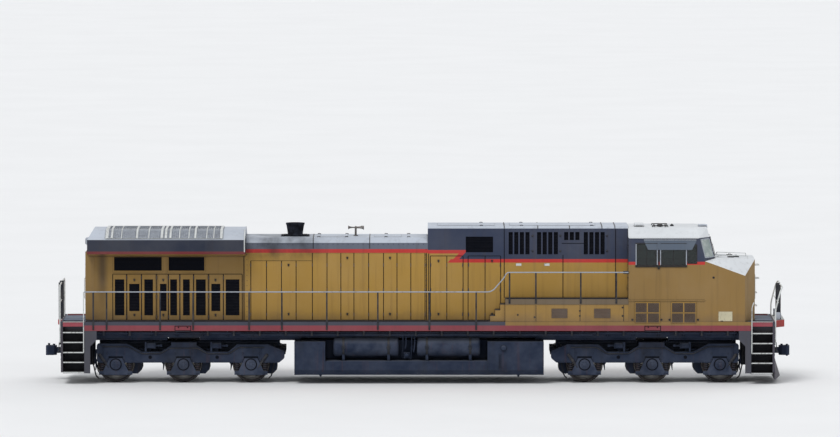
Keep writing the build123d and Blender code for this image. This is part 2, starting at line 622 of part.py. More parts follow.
def fuel_tank():
    """Full-depth tank ends with a shelf between them on each side, and the air reservoirs on the shelves."""
    outline = [(TANK_HALF - TANK_CORNER, TANK_BOTTOM), (TANK_HALF, TANK_BOTTOM + TANK_CORNER), (TANK_HALF, TANK_TOP)]
    tank = cross_prism(symmetric(outline), (TANK_REAR_X, TANK_FRONT_X))
    for edge in (-1, 1):
        tank -= slab((SHELF_REAR_X, SHELF_FRONT_X), (edge * SHELF_INNER_Y, edge * (TANK_HALF + 10.0)),
                     (SHELF_TOP, TANK_TOP + 10.0))
    reservoirs = []
    y = SHELF_INNER_Y + RESERVOIR_INSET + RESERVOIR_RADIUS
    for low_x, high_x in RESERVOIR_SPANS:
        length = high_x - low_x
        shape = ((0.0, RESERVOIR_RADIUS - DOME_SET), (DOME_SET, RESERVOIR_RADIUS),
                 (length - DOME_SET, RESERVOIR_RADIUS), (length, RESERVOIR_RADIUS - DOME_SET))
        reservoirs += both(drum((low_x, y, RESERVOIR_Z), (1, 0, 0), shape, RESERVOIR_SIDES))
        for x in (low_x + SADDLE_INSET, high_x - SADDLE_INSET):
            cradle = slab((x - SADDLE_HALF, x + SADDLE_HALF), (y - SADDLE_SPREAD, y + SADDLE_SPREAD),
                          (SHELF_TOP - 10.0, RESERVOIR_Z - RESERVOIR_RADIUS / 2))
            seat = bar((x - 100.0, y, RESERVOIR_Z), (x + 100.0, y, RESERVOIR_Z), RESERVOIR_RADIUS + END_GAP,
                       RESERVOIR_SIDES)
            cradle -= seat
            tank += cradle + mirrored(cradle)
    place("fuel_tank", tank)
    place("air_reservoirs", *reservoirs)


def cab_front(z, inset):
    """X of the cab's front at its sides, where the windscreen leans back above its sill."""
    slope = (CAB_FRONT_EAVE_X - CAB_FRONT_SILL_X) / (CAB_EAVE - WINDOW_SILL_Z)
    return CAB_FRONT_SILL_X - inset + slope * max(0.0, z - WINDOW_SILL_Z)


def cab_hull(inset, low, high):
    """Faceted cab block, every wall moved in by inset, between two heights."""
    points = []
    for z in (low, WINDOW_SILL_Z, high):
        for edge in (-1, 1):
            points.append((CAB_REAR_X + inset, edge * (CAB_HALF - inset), z))
            points.append((cab_front(z, inset), edge * (CAB_HALF - inset), z))
            points.append((cab_front(z, inset) + CORNER_SET, edge * (CORNER_HALF - inset * 0.3), z))
    return ConvexPolyhedron(points)


def window_cutters():
    """Openings of the side windows and the windscreen panes."""
    cutters = []
    for edge in (-1, 1):
        wall_y = (edge * (CAB_HALF - 150.0), edge * (CAB_HALF + 50.0))
        for x in SIDE_WINDOWS:
            cutters.append(slab(x, wall_y, SIDE_WINDOW_Z))
        cutters.append(slab(QUARTER_WINDOW, wall_y, QUARTER_WINDOW_Z))
        cutters.append(slab((CAB_FRONT_EAVE_X, CAB_FRONT_SILL_X + CORNER_SET + 100.0),
                            (edge * WINDSHIELD_Y[0], edge * WINDSHIELD_Y[1]), WINDSHIELD_Z))
    return cutters


def cell_rows(span, z, bar):
    """Two by two cells inside a frame with bars of one width between them."""
    middle_x = sum(span) / 2
    middle_z = sum(z) / 2
    cells = []
    for x in ((span[0], middle_x - bar / 2), (middle_x + bar / 2, span[1])):
        for height in ((z[0], middle_z - bar / 2), (middle_z + bar / 2, z[1])):
            cells.append((x, height))
    return cells


def cab():
    """Base block, hollow upper cab, glass, roof, sunshades and what stands inside; returns the base grilles."""
    shell = cab_hull(0.0, DECK_TOP, CAB_EAVE) - cab_hull(CAB_WALL, CAB_FLOOR, CAB_EAVE)
    glass = cab_hull(GLASS_INSET, CAB_FLOOR, CAB_EAVE) - cab_hull(GLASS_INSET + GLASS_THICK, CAB_FLOOR, CAB_EAVE)
    panes = []
    for cutter in window_cutters():
        shell -= cutter
        panes.append(glass & cutter)
    shell -= slab((CAB_REAR_X - 10.0, CAB_REAR_X + CAB_WALL + 10.0), DOOR_Y, DOOR_Z)
    grilles = []
    for edge in (-1, 1):
        shell += slab((CAB_REAR_X, CAB_FRONT_SILL_X), (edge * (CAB_HALF - 5.0), edge * (CAB_HALF + LEDGE_PROUD)),
                      LEDGE_Z)
        for span in BASE_GRILLES:
            for x, z in cell_rows(span, BASE_GRILLE_Z, BASE_GRILLE_BAR):
                back = edge * (CAB_HALF - GRILLE_DEPTH)
                shell -= slab(x, (back, edge * (CAB_HALF + 5.0)), z)
                grilles.append(slab(x, (back, back + edge * GRILLE_THICK), z))
    for share in HINGE_SHARES:
        arm = hinge_arm(DOOR_Z, share, 0, (CAB_HINGE[0], CAB_REAR_X + 5.0), (CAB_HINGE[1] - 5.0, CAB_HINGE[1] + 10.0))
        shell += arm + knuckle(CAB_HINGE, DOOR_Z, share, 0)
    place("cab_shell", shell)
    place("cab_windows", *panes)

    crown = cab_front(CAB_ROOF_TOP, 0.0)
    points = []
    for edge in (-1, 1):
        points += [(CAB_REAR_X, edge * CAB_HALF, CAB_EAVE), (CAB_FRONT_EAVE_X, edge * CAB_HALF, CAB_EAVE),
                   (CAB_FRONT_EAVE_X + CORNER_SET, edge * CORNER_HALF, CAB_EAVE),
                   (CAB_REAR_X, edge * CAB_ROOF_HALF, CAB_ROOF_TOP), (crown, edge * CAB_ROOF_HALF, CAB_ROOF_TOP),
                   (crown + CORNER_SET, edge * CAB_CROWN_HALF, CAB_ROOF_TOP)]
    place("cab_roof", ConvexPolyhedron(points))

    shade = [(CAB_HALF, SHADE_TOP_Z - SHADE_THICK), (CAB_HALF, SHADE_TOP_Z),
             (SHADE_HALF, SHADE_LOW_Z + SHADE_THICK), (SHADE_HALF, SHADE_LOW_Z)]
    awning = cross_prism(shade, SHADE_SPAN)
    for end, x in zip((-1, 1), SHADE_SPAN):
        corner = [(x + end, SHADE_LOW_Z - 1.0), (x - end * SHADE_TAPER, SHADE_LOW_Z - 1.0),
                  (x + end, SHADE_TOP_Z - 40.0)]
        awning -= side_prism(corner, (CAB_HALF - 10.0, SHADE_HALF + 10.0))
    place("sunshades", *both(awning))

    inside = []
    for x, y in ((7700.0, -950.0), (7700.0, 950.0), (6800.0, 950.0)):
        seat = slab((x - 230.0, x + 230.0), (y - 230.0, y + 230.0), (2890.0, 3010.0))
        seat += slab((x - 260.0, x - 160.0), (y - 230.0, y + 230.0), (2990.0, 3620.0))
        seat += bar((x, y, CAB_FLOOR), (x, y, 2900.0), 60.0)
        inside.append(seat)
    desk = [(8150.0, CAB_FLOOR), (8150.0, 3300.0), (8250.0, 3330.0), (8330.0, 3450.0), (8450.0, 3450.0),
            (8450.0, CAB_FLOOR)]
    inside.append(side_prism(desk, (-1300.0, -500.0)))
    place("cab_interior", *inside)
    return grilles


def nose():
    """Wide nose with chamfered front corners and a passage behind its door."""
    points = []
    for edge in (-1, 1):
        points += [
            (CAB_FRONT_SILL_X, edge * CAB_HALF, DECK_TOP), (NOSE_CORNER_X, edge * CAB_HALF, DECK_TOP),
            (NOSE_FRONT_X, edge * NOSE_FRONT_HALF, DECK_TOP),
            (CAB_FRONT_SILL_X, edge * CAB_HALF, WINDOW_SILL_Z), (NOSE_CORNER_X, edge * CAB_HALF, NOSE_CORNER_Z),
            (NOSE_FRONT_X, edge * NOSE_FRONT_HALF, NOSE_FRONT_Z),
            (CAB_FRONT_SILL_X, edge * CORNER_HALF, NOSE_REAR_Z),
        ]
    block = ConvexPolyhedron(points) - cab_hull(0.0, DECK_TOP, CAB_EAVE)
    block -= slab((PASSAGE_REAR_X, NOSE_FRONT_X - CAB_WALL), PASSAGE_Y,
                  (NOSE_DOOR_Z[0] - PASSAGE_MARGIN, NOSE_DOOR_Z[1] + PASSAGE_MARGIN))
    block -= slab((PASSAGE_REAR_X, NOSE_FRONT_X + 50.0), NOSE_DOOR_Y, NOSE_DOOR_Z)
    for share in HINGE_SHARES:
        arm = hinge_arm(NOSE_DOOR_Z, share, 0, (NOSE_HINGE[0], NOSE_FRONT_X - CAB_WALL + 5.0),
                        (NOSE_HINGE[1] - 5.0, NOSE_HINGE[1] + 10.0))
        block += arm + knuckle(NOSE_HINGE, NOSE_DOOR_Z, share, 0)
    place("nose", block)


def hinge_heights(door_z, share, upper):
    """Low and high end of one half of a hinge: 0 is the fixed half below, 1 the door's above."""
    middle = door_z[0] + share * (door_z[1] - door_z[0])
    if upper:
        return (middle + END_GAP / 2, middle + HINGE_LENGTH)
    return (middle - HINGE_LENGTH, middle - END_GAP / 2)


def knuckle(hinge, door_z, share, upper):
    """Round half of a hinge on its pin's line."""
    low, high = hinge_heights(door_z, share, upper)
    return bar((hinge[0], hinge[1], low), (hinge[0], hinge[1], high), HINGE_RADIUS)


def hinge_arm(door_z, share, upper, x, y):
    """Flat arm that holds a knuckle."""
    return slab(x, y, hinge_heights(door_z, share, upper))


def door_leaf(hinge, opening_y, opening_z, leaf_x):
    """Leaf in its opening with the upper halves of its hinges."""
    leaf = slab(leaf_x, (opening_y[0] + DOOR_GAP, opening_y[1] - DOOR_GAP),
                (opening_z[0] + DOOR_GAP, opening_z[1] - DOOR_GAP))
    for share in HINGE_SHARES:
        leaf += knuckle(hinge, opening_z, share, 1)
        leaf += hinge_arm(opening_z, share, 1, (hinge[0] - 8.0, hinge[0] + 4.0), (opening_y[1] - 80.0, hinge[1]))
        leaf += hinge_arm(opening_z, share, 1, (hinge[0], leaf_x[0] + 5.0),
                          (opening_y[1] - 80.0, opening_y[1] - DOOR_GAP - 4.0))
    return leaf


def doors():
    """Cab door in the rear wall, with its window, and nose door in the front face."""
    leaf_x = (CAB_REAR_X + 5.0, CAB_REAR_X + 5.0 + DOOR_THICK)
    leaf = door_leaf(CAB_HINGE, DOOR_Y, DOOR_Z, leaf_x)
    pane_y = (DOOR_Y[0] + DOOR_WINDOW_MARGIN, DOOR_Y[1] - DOOR_WINDOW_MARGIN)
    leaf -= slab((leaf_x[0] - 5.0, leaf_x[1] + 5.0), pane_y, DOOR_WINDOW_Z)
    place("cab_door", leaf)
    leaf_x = (NOSE_FRONT_X - CAB_WALL + 10.0, NOSE_FRONT_X - CAB_WALL + 10.0 + DOOR_THICK)
    place("nose_door", door_leaf(NOSE_HINGE, NOSE_DOOR_Y, NOSE_DOOR_Z, leaf_x))


def panel(span, z, half, proud=PANEL_PROUD):
    """Flat panel that stands proud of a wall, on both sides of the machine."""
    return both(slab(span, (half, half + proud), z))


def radiator(grilles):
    """Rear hood with its doors, overhanging wings, roof screens and their ribs."""
    plan = [(RADIATOR_FRONT_X, HOOD_HALF), (RADIATOR_REAR_X + RADIATOR_CHAMFER_X, HOOD_HALF),
            (RADIATOR_REAR_X, HOOD_HALF - RADIATOR_CHAMFER_Y)]
    plan += [(x, -y) for x, y in reversed(plan)]
    parts = [plan_prism(plan, (DECK_TOP, WING_LOW))]
    wing = []
    for edge in (-1, 1):
        for x in (WING_REAR_X, RADIATOR_FRONT_X):
            wing += [(x, edge * HOOD_HALF, WING_ROOT), (x, edge * WING_HALF, WING_LOW),
                     (x, edge * WING_HALF, WING_HIGH)]
        wing += [(WING_REAR_X + HIP, edge * RADIATOR_TOP_HALF, RADIATOR_TOP),
                 (RADIATOR_FRONT_X, edge * RADIATOR_TOP_HALF, RADIATOR_TOP)]
    parts.append(ConvexPolyhedron(wing))
    cuts = []
    for rear, front, grille_rear, grille_front, tall in RADIATOR_DOORS:
        grille_z = TALL_GRILLE_Z if tall else SHORT_GRILLE_Z
        parts += panel((rear, front), (DOOR_BOTTOM, RADIATOR_DOOR_TOP), HOOD_HALF)
        cuts.append(((grille_rear, grille_front), grille_z))
    for span in INTAKE_SPANS:
        parts += panel(span, (INTAKE_Z[0] - 40.0, INTAKE_Z[1] + 10.0), HOOD_HALF)
        cuts.append(((span[0] + 30.0, span[1] - 30.0), INTAKE_Z))
    hood = fused(parts)
    for span, z in cuts:
        for edge in (-1, 1):
            back = edge * (HOOD_HALF - GRILLE_DEPTH)
            hood -= slab(span, (back, edge * (HOOD_HALF + PANEL_PROUD + 1.0)), z)
            grilles.append(slab(span, (back, back + edge * GRILLE_THICK), z))
    place("radiator_hood", hood)

    def layer(rise, x):
        """Sheet of one thickness over the roof's slopes and its flat middle."""
        slope = (RADIATOR_TOP - WING_HIGH) / (WING_HALF - RADIATOR_TOP_HALF)
        edge_y = WING_HALF - SCREEN_MARGIN
        edge_z = WING_HIGH + slope * SCREEN_MARGIN
        outline = [(RADIATOR_TOP_HALF, RADIATOR_TOP), (edge_y, edge_z), (edge_y, edge_z + rise),
                   (RADIATOR_TOP_HALF, RADIATOR_TOP + rise)]
        outline += [(-y, z) for y, z in reversed(outline)]
        return cross_prism(outline, x)

    layers = [layer(SCREEN_THICK, (ROOF_RIBS[0][0], ROOF_RIBS[-1][0]))]
    for middle, width in ROOF_RIBS:
        layers.append(layer(SCREEN_THICK + RIB_RISE, (middle - width / 2, middle + width / 2)))
    place("radiator_screens", fused(layers))


def engine_section():
    """Narrow hood over the engine with its doors, and the engine inside."""
    engine = slab(ENGINE_SPAN, (-ENGINE_HALF, ENGINE_HALF), (DECK_TOP, ENGINE_TOP))
    outline = [(HOOD_HALF, DECK_TOP), (HOOD_HALF, ENGINE_HOOD_EAVE), (HOOD_HALF - ENGINE_HOOD_BEVEL, ENGINE_HOOD_TOP)]
    parts = [cross_prism(symmetric(outline), (RADIATOR_FRONT_X, EQUIPMENT_REAR_X))]
    for rear, front in zip(ENGINE_DOOR_EDGES, ENGINE_DOOR_EDGES[1:]):
        top = ENGINE_TALL_TOP if rear >= ENGINE_TALL_DOORS_FROM else ENGINE_DOOR_TOP
        parts += panel((rear + PANEL_GAP / 2, front - PANEL_GAP / 2), (DOOR_BOTTOM, top - PANEL_GAP / 2), HOOD_HALF)
    place("engine_hood", fused(parts) - engine)
    place("engine_block", engine)
    base = slab((STACK_X - 420.0, STACK_X + 420.0), (-330.0, 330.0), (ENGINE_HOOD_TOP, ENGINE_HOOD_TOP + 40.0))
    stack = drum((STACK_X, 0, ENGINE_HOOD_TOP), (0, 0, 1), STACK_STATIONS, 2 * DRUM_SIDES)
    place("exhaust_stack", base + stack)
    horn = slab((HORN_X - HORN_BAR / 2, HORN_X + HORN_BAR / 2), (-HORN_BAR / 2, HORN_BAR / 2),
                (ENGINE_HOOD_TOP, HORN_Z))
    horn += slab((HORN_X - HORN_BAR / 2, HORN_X + HORN_BAR / 2), (-HORN_SPREAD, HORN_SPREAD),
                 (HORN_Z - HORN_BAR / 2, HORN_Z + HORN_BAR / 2))
    for y, way in ((-HORN_PITCH, 1), (0.0, -1), (HORN_PITCH, 1)):
        throat = HORN_X + way * HORN_BAR / 2
        horn += drum((throat, y, HORN_Z), (way, 0, 0), ((0.0, HORN_THROAT), (HORN_LENGTH, HORN_MOUTH)))
    place("horn", horn)


def equipment_section(grilles):
    """Tall hood behind the cab, with slotted vents, the left cabinet and the right walkway boxes."""
    outline = [(HOOD_HALF, DECK_TOP), (HOOD_HALF, EQUIPMENT_EAVE), (HOOD_HALF - EQUIPMENT_BEVEL, EQUIPMENT_TOP)]
    hood = cross_prism(symmetric(outline), (EQUIPMENT_REAR_X, CAB_REAR_X))
    parts = [hood]
    for span in EQUIPMENT_PANELS:
        parts += panel(span, (DOOR_BOTTOM, SCREEN_Z[0] - 120.0), HOOD_HALF)
    hood = fused(parts)
    for edge in (-1, 1):
        back = edge * (HOOD_HALF - GRILLE_DEPTH)
        hood -= slab(SCREEN_SPAN, (back, edge * (HOOD_HALF + 1.0)), SCREEN_Z)
        grilles.append(slab(SCREEN_SPAN, (back, back + edge * GRILLE_THICK), SCREEN_Z))
    for rear, front, low, high in VENTS:
        for index in range(round((front - rear - VENT_SLOT) / VENT_PITCH) + 1):
            x = rear + index * VENT_PITCH
            hood -= slab((x, x + VENT_SLOT), (-HOOD_HALF - 1.0, -HOOD_HALF + VENT_DEPTH), (low, high))
    place("equipment_hood", hood)

    cabinet = [slab((CABINET_REAR_X, CAB_REAR_X), (HOOD_HALF, CAB_HALF), (DECK_TOP, CABINET_TOP))]
    pitch = (CAB_REAR_X - CABINET_REAR_X) / CABINET_DOORS
    for index in range(CABINET_DOORS):
        x = CABINET_REAR_X + index * pitch
        cabinet.append(slab((x + PANEL_GAP / 2, x + pitch - PANEL_GAP / 2), (CAB_HALF - 5.0, CAB_HALF + PANEL_PROUD),
                            (DOOR_BOTTOM, CABINET_DOOR_TOP)))
    cabinet = fused(cabinet)
    for index in range(CABINET_DOORS):
        x = CABINET_REAR_X + index * pitch
        span = (x + CABINET_GRILLE_INSET, x + pitch - CABINET_GRILLE_INSET)
        back = CAB_HALF - GRILLE_DEPTH
        cabinet -= slab(span, (back, CAB_HALF + 1.0), CABINET_GRILLE_Z)
        grilles.append(slab(span, (back, back + GRILLE_THICK), CABINET_GRILLE_Z))
    place("inverter_cabinet", cabinet)

    boxes = [slab((BOX_REAR_X, CAB_REAR_X), (-BOX_HALF, -HOOD_HALF), (DECK_TOP, WALKWAY_LOW)),
             slab((BOX_REAR_X, CAB_REAR_X), (-SILL_HALF, -HOOD_HALF), (WALKWAY_LOW, WALKWAY_TOP))]
    rise = (WALKWAY_TOP - DECK_TOP) / (WALKWAY_STEPS + 1)
    for index in range(WALKWAY_STEPS):
        top = WALKWAY_TOP - rise * (index + 1)
        start = BOX_REAR_X - STEP_RUN * (index + 1)
        boxes.append(slab((start, BOX_REAR_X + 5.0), (-BOX_HALF + STEP_INSET, -HOOD_HALF - PANEL_PROUD - END_GAP),
                          (DECK_TOP, top)))
    place("battery_boxes", fused(boxes))


def roof_and_lamps():
    """Fittings on the roofs, headlights, number boards and ditch lights."""
    fittings = [
        slab((6489.0, 6760.0), (-320.0, 320.0), (CAB_ROOF_TOP, CAB_ROOF_TOP + 90.0)),
        slab((7000.0, 7497.0), (-450.0, 450.0), (CAB_ROOF_TOP, CAB_ROOF_TOP + 45.0)),
        slab((7556.0, 7676.0), (-60.0, 60.0), (CAB_ROOF_TOP, CAB_ROOF_TOP + 70.0)),
    ]
    place("roof_fittings", *fittings)
    front_x = cab_front(CAB_ROOF_TOP, 0.0) + CORNER_SET
    lamps = []
    housing = slab((front_x - 240.0, front_x + 30.0), (-250.0, 250.0), (CAB_ROOF_TOP, CAB_ROOF_TOP + 50.0))
    roof_block = cab_hull(0.0, CAB_EAVE, CAB_ROOF_TOP)
    lamps.append(housing - roof_block)
    rear = slab((WING_REAR_X - 90.0, WING_REAR_X + 20.0), (-230.0, 230.0), (4060.0, 4250.0))
    lamps.append(rear - slab((WING_REAR_X, WING_REAR_X + 100.0), (-300.0, 300.0), (4000.0, 4300.0)))
    for y in (-760.0, 760.0):
        lamps.append(slab((END_PLATE_X + 60.0, END_PLATE_X + 200.0), (y - 110.0, y + 110.0), (LIP_TOP, LIP_TOP + 210.0)))
    place("lamps", *lamps)


def rail_end(x, y, z):
    """Block that holds a rail's end against the wall in front of it."""
    length, width, height = RAIL_END_BLOCK
    edge = math.copysign(1.0, y)
    return slab((x - length, x), (y - edge * width, y + edge * RAIL_RADIUS / 2), (z - height / 2, z + height / 2))


def handrails():
    """Side handrails on flat stanchions that are bolted to the sills; the right one ramps up to the walkway."""
    rear_x = -(GRAB_X - POST_RADIUS)
    right = [pipe([(rear_x, -RAIL_Y, RAIL_LOW_Z)] + [(x, -RAIL_Y, z) for x, z in RAMP] +
                  [(CAB_REAR_X, -RAIL_Y, RAIL_HIGH_Z)], RAIL_RADIUS),
             rail_end(CAB_REAR_X, -RAIL_Y, RAIL_HIGH_Z)]
    left = [pipe([(rear_x, RAIL_Y, RAIL_LOW_Z), (CABINET_REAR_X, RAIL_Y, RAIL_LOW_Z)], RAIL_RADIUS),
            rail_end(CABINET_REAR_X, RAIL_Y, RAIL_LOW_Z)]

    def post(x, edge, foot, top):
        """Flat bar against the outer face of the sill or of the walkway's edge."""
        return slab((x - POST_WIDTH / 2, x + POST_WIDTH / 2), (edge * SILL_HALF, edge * (SILL_HALF + POST_THICK)),
                    (foot + POST_FOOT, top))

    for x in LOW_POSTS:
        right.append(post(x, -1, SILL_BOTTOM, RAIL_LOW_Z))
        left.append(post(x, 1, SILL_BOTTOM, RAIL_LOW_Z))
    for x in HIGH_POSTS:
        right.append(post(x, -1, WALKWAY_LOW, RAIL_HIGH_Z))
    place("handrail_right", fused(right))
    place("handrail_left", fused(left))


def end_rails():
    """Rails over the end platforms and beside the steps, at all four corners."""
    face = END_PLATE_X + RAIL_RADIUS
    low, high = (1140.0, 1210.0), (2860.0, 2930.0)
    lean_x, top_x = END_PLATE_X + 160.0, END_PLATE_X + 230.0
    corner_y = END_RAIL_Y - 100.0
    front = pipe([(face, END_RAIL_Y, low[0]), (face, END_RAIL_Y, 2190.0), (lean_x, END_RAIL_Y, 2730.0),
                  (top_x, corner_y, high[0]), (top_x, CHAIN_POST_Y, high[0])], RAIL_RADIUS)
    rear = pipe([(-face, END_RAIL_Y, low[1]), (-face, END_RAIL_Y, high[1] - 70.0), (-face, corner_y, high[1]),
                 (-face, CHAIN_POST_Y, high[1])], RAIL_RADIUS)
    # Flat posts beside the gap in the middle of each end
    post_y = (CHAIN_POST_Y - POST_THICK / 2, CHAIN_POST_Y + POST_THICK / 2)
    front += slab((top_x - FLAT_POST, top_x), post_y, (LIP_TOP, high[0]))
    rear += slab((-face - FLAT_POST, -face), post_y, (DECK_TOP, high[1]))
    grabs = []
    for end, low, high in ((1, 890.0, 2270.0), (-1, 933.0, RAIL_LOW_Z + RAIL_RADIUS)):
        points = [(end * GRAB_X, GRAB_Y, low), (end * GRAB_X, GRAB_Y, high)]
        if end > 0:
            points.append((GRAB_X + 55.0, GRAB_Y, high + 150.0))
        grab = pipe(points, POST_RADIUS)
        for z in (low + 30.0, 1500.0):
            grab += slab((end * DECK_END_X, end * GRAB_X), (TREAD_EDGE_Y + 6.0, GRAB_Y), (z - 15.0, z + 15.0))
        grabs.append(grab)
    pieces = [front, rear] + grabs
    place("end_rails", *pieces, *[mirrored(piece) for piece in pieces])


os.makedirs("parts", exist_ok=True)
underframe()
end_plate("pilot_front", 1)
end_plate("pilot_rear", -1)
corner_steps()
coupler("coupler_front", 1)
coupler("coupler_rear", -1)
fuel_tank()
grille_plates = cab()
nose()
doors()
radiator(grille_plates)
engine_section()
equipment_section(grille_plates)
place("hood_grilles", *grille_plates)
roof_and_lamps()
handrails()
end_rails()
truck("truck_front", TRUCK_X, -1)
truck("truck_rear", -TRUCK_X, 1)
for number, side in enumerate((1, -1)):
    for index, offset in enumerate((AXLE_SPACING, 0.0, -AXLE_SPACING)):
        place("wheelset_%d" % (1 + number * 3 + index), wheelset(side * TRUCK_X + offset))
for name, shape in PIECES.items():
    export_step(shape, os.path.join("parts", name + ".step"))
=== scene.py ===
"""Looks of a six-axle diesel locomotive, laid out as an add-on and run as a script.

Metres. +X points to the nose, +Y to the left side, +Z up. Heights here are above the rail;
every finished piece is lifted by RAIL_Z, because the frame stands on its wheel flanges.
"""
import math

import bmesh
import bpy
from mathutils import Matrix, Vector


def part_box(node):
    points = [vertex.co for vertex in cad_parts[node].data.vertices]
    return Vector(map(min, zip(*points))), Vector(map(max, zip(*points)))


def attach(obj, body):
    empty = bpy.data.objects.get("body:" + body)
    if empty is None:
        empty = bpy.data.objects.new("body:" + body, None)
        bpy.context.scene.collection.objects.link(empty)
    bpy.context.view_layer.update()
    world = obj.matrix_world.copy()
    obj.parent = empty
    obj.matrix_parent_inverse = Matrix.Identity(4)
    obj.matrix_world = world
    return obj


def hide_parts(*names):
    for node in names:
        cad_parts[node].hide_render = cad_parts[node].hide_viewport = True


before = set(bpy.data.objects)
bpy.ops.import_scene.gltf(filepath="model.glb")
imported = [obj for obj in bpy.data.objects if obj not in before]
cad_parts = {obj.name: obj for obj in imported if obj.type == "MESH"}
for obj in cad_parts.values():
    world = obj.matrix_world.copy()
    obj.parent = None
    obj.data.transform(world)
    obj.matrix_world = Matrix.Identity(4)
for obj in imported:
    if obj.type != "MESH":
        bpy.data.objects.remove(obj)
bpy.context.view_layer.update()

bl_info = {
    "name": "Diesel locomotive looks",
    "version": (1, 0, 0),
    "blender": (4, 5, 0),
    "location": "View3D > Sidebar > Locomotive",
    "description": "Dresses the six-axle diesel locomotive piece by piece",
    "category": "Object",
}

RAIL_Z = 0.028
TREAD_Y = 1.510


def span(node, axis):
    """Lowest and highest value of a node along one axis, heights above the rail."""
    low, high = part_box(node)
    shift = RAIL_Z if axis == 2 else 0.0
    return low[axis] - shift, high[axis] - shift


# Places, most of them read from the frame
SILL_Y = span("underframe", 1)[1]
SILL_LOW, DECK_Z = 1.569, 1.840
RAIL_Y = SILL_Y + 0.006
WALKWAY_LOW = 2.360
HOOD_Y = 0.960
DOOR_Y = span("engine_hood", 1)[1]
CAB_Y = span("cab_roof", 1)[1]
CAB_EAVE, CAB_TOP = span("cab_roof", 2)
CAB_REAR = span("cab_roof", 0)[0]
WING_Y = span("radiator_hood", 1)[1]
RADIATOR_REAR, RADIATOR_FRONT = span("radiator_hood", 0)
RADIATOR_TOP = span("radiator_hood", 2)[1]
ENGINE_TOP = span("engine_hood", 2)[1]
EQUIPMENT_REAR = span("equipment_hood", 0)[0]
EQUIPMENT_TOP = span("equipment_hood", 2)[1]
BOX_REAR = 2.609
WALKWAY_TOP = span("battery_boxes", 2)[1]
NOSE_FRONT = span("nose", 0)[1]
FRAME_Y = span("truck_front_frame", 1)[1]
BEARING_Y = span("truck_front_boxes", 1)[1]
TRUCK_X = 7.0
AXLE_SPACING = 2.02
WHEEL_Z = 0.533
COUPLER_Z = 0.875
PLATE_X = 10.640
STEPS = (9.945, 10.575)


def srgb(red, green, blue):
    """Linear colour from screen values of 0 to 255."""
    return tuple(value / 12.92 if value <= 0.04045 else ((value + 0.055) / 1.055) ** 2.4
                 for value in (red / 255, green / 255, blue / 255))


def colour_property(name, description, value):
    """Colour that a user may change."""
    return bpy.props.FloatVectorProperty(name=name, description=description, default=value, size=3,
                                         subtype="COLOR", min=0.0, max=1.0)


def length_property(name, description, value):
    """Length that a user may change."""
    return bpy.props.FloatProperty(name=name, description=description, default=value, min=0.001,
                                   unit="LENGTH", subtype="DISTANCE")


class LocomotivePaint(bpy.types.PropertyGroup):
    """Colours of the livery and of the dirt on it"""
    yellow: colour_property("Yellow", "Body colour below the stripe", srgb(170, 133, 62))
    red: colour_property("Stripe red", "Stripes along the hoods and the cab", srgb(190, 50, 46))
    sill_red: colour_property("Sill red", "Dirty red along the foot of the sills", srgb(150, 58, 72))
    band: colour_property("Upper grey", "Blue-grey above the stripe", srgb(48, 57, 80))
    roof: colour_property("Roof", "Pale grey of the hood roofs", srgb(184, 191, 202))
    cab_roof: colour_property("Cab roof", "White-grey of the cab roof and nose top", srgb(216, 219, 222))
    deck: colour_property("Walkways", "Dark grey of the decks and steps", srgb(44, 49, 62))
    # Paler blue-grey that stands for painted sunlight on the tops of the end platforms
    platform: colour_property("End platforms", "Blue-grey of the plates over the steps", srgb(92, 112, 140))
    grime: colour_property("Running gear", "Dirty grey of trucks, tank and underframe", srgb(34, 43, 62))
    dust: colour_property("Road dust", "Pale dust on low and level surfaces", srgb(116, 110, 104))
    # Soot's colour also serves as painted shade in the joints of bare metal
    soot: colour_property("Soot", "Black of exhaust and oil", srgb(16, 18, 24))
    rust: colour_property("Rust", "Brown of bare iron", srgb(98, 58, 38))
    mesh: colour_property("Brown meshes", "Dusty brown of the low grilles", srgb(84, 66, 52))
    silver: colour_property("Handrails", "Silver-grey of the side rails", srgb(158, 165, 176))
    white: colour_property("White edges", "Step edges and end rails", srgb(206, 209, 208))
    plate: colour_property("Blank plates", "Pale paint of the bare plates", srgb(196, 188, 158))


class LocomotiveSizes(bpy.types.PropertyGroup):
    """Sizes of the repeated small forms"""
    rail_radius: length_property("Rail radius", "Radius of the handrail tubes", 0.018)
    bolt_radius: length_property("Bolt radius", "Radius of the hexagon heads", 0.016)
    slat_pitch: length_property("Louvre pitch", "Distance between louvre slats", 0.045)
    mesh_pitch: length_property("Screen pitch", "Distance between the wires of the roof screens", 0.055)
    spring_radius: length_property("Spring radius", "Radius to the middle of the spring wire", 0.076)
    spring_turns: bpy.props.FloatProperty(name="Spring turns", description="Turns of each coil spring",
                                          default=4.0, min=1.0, max=9.0)


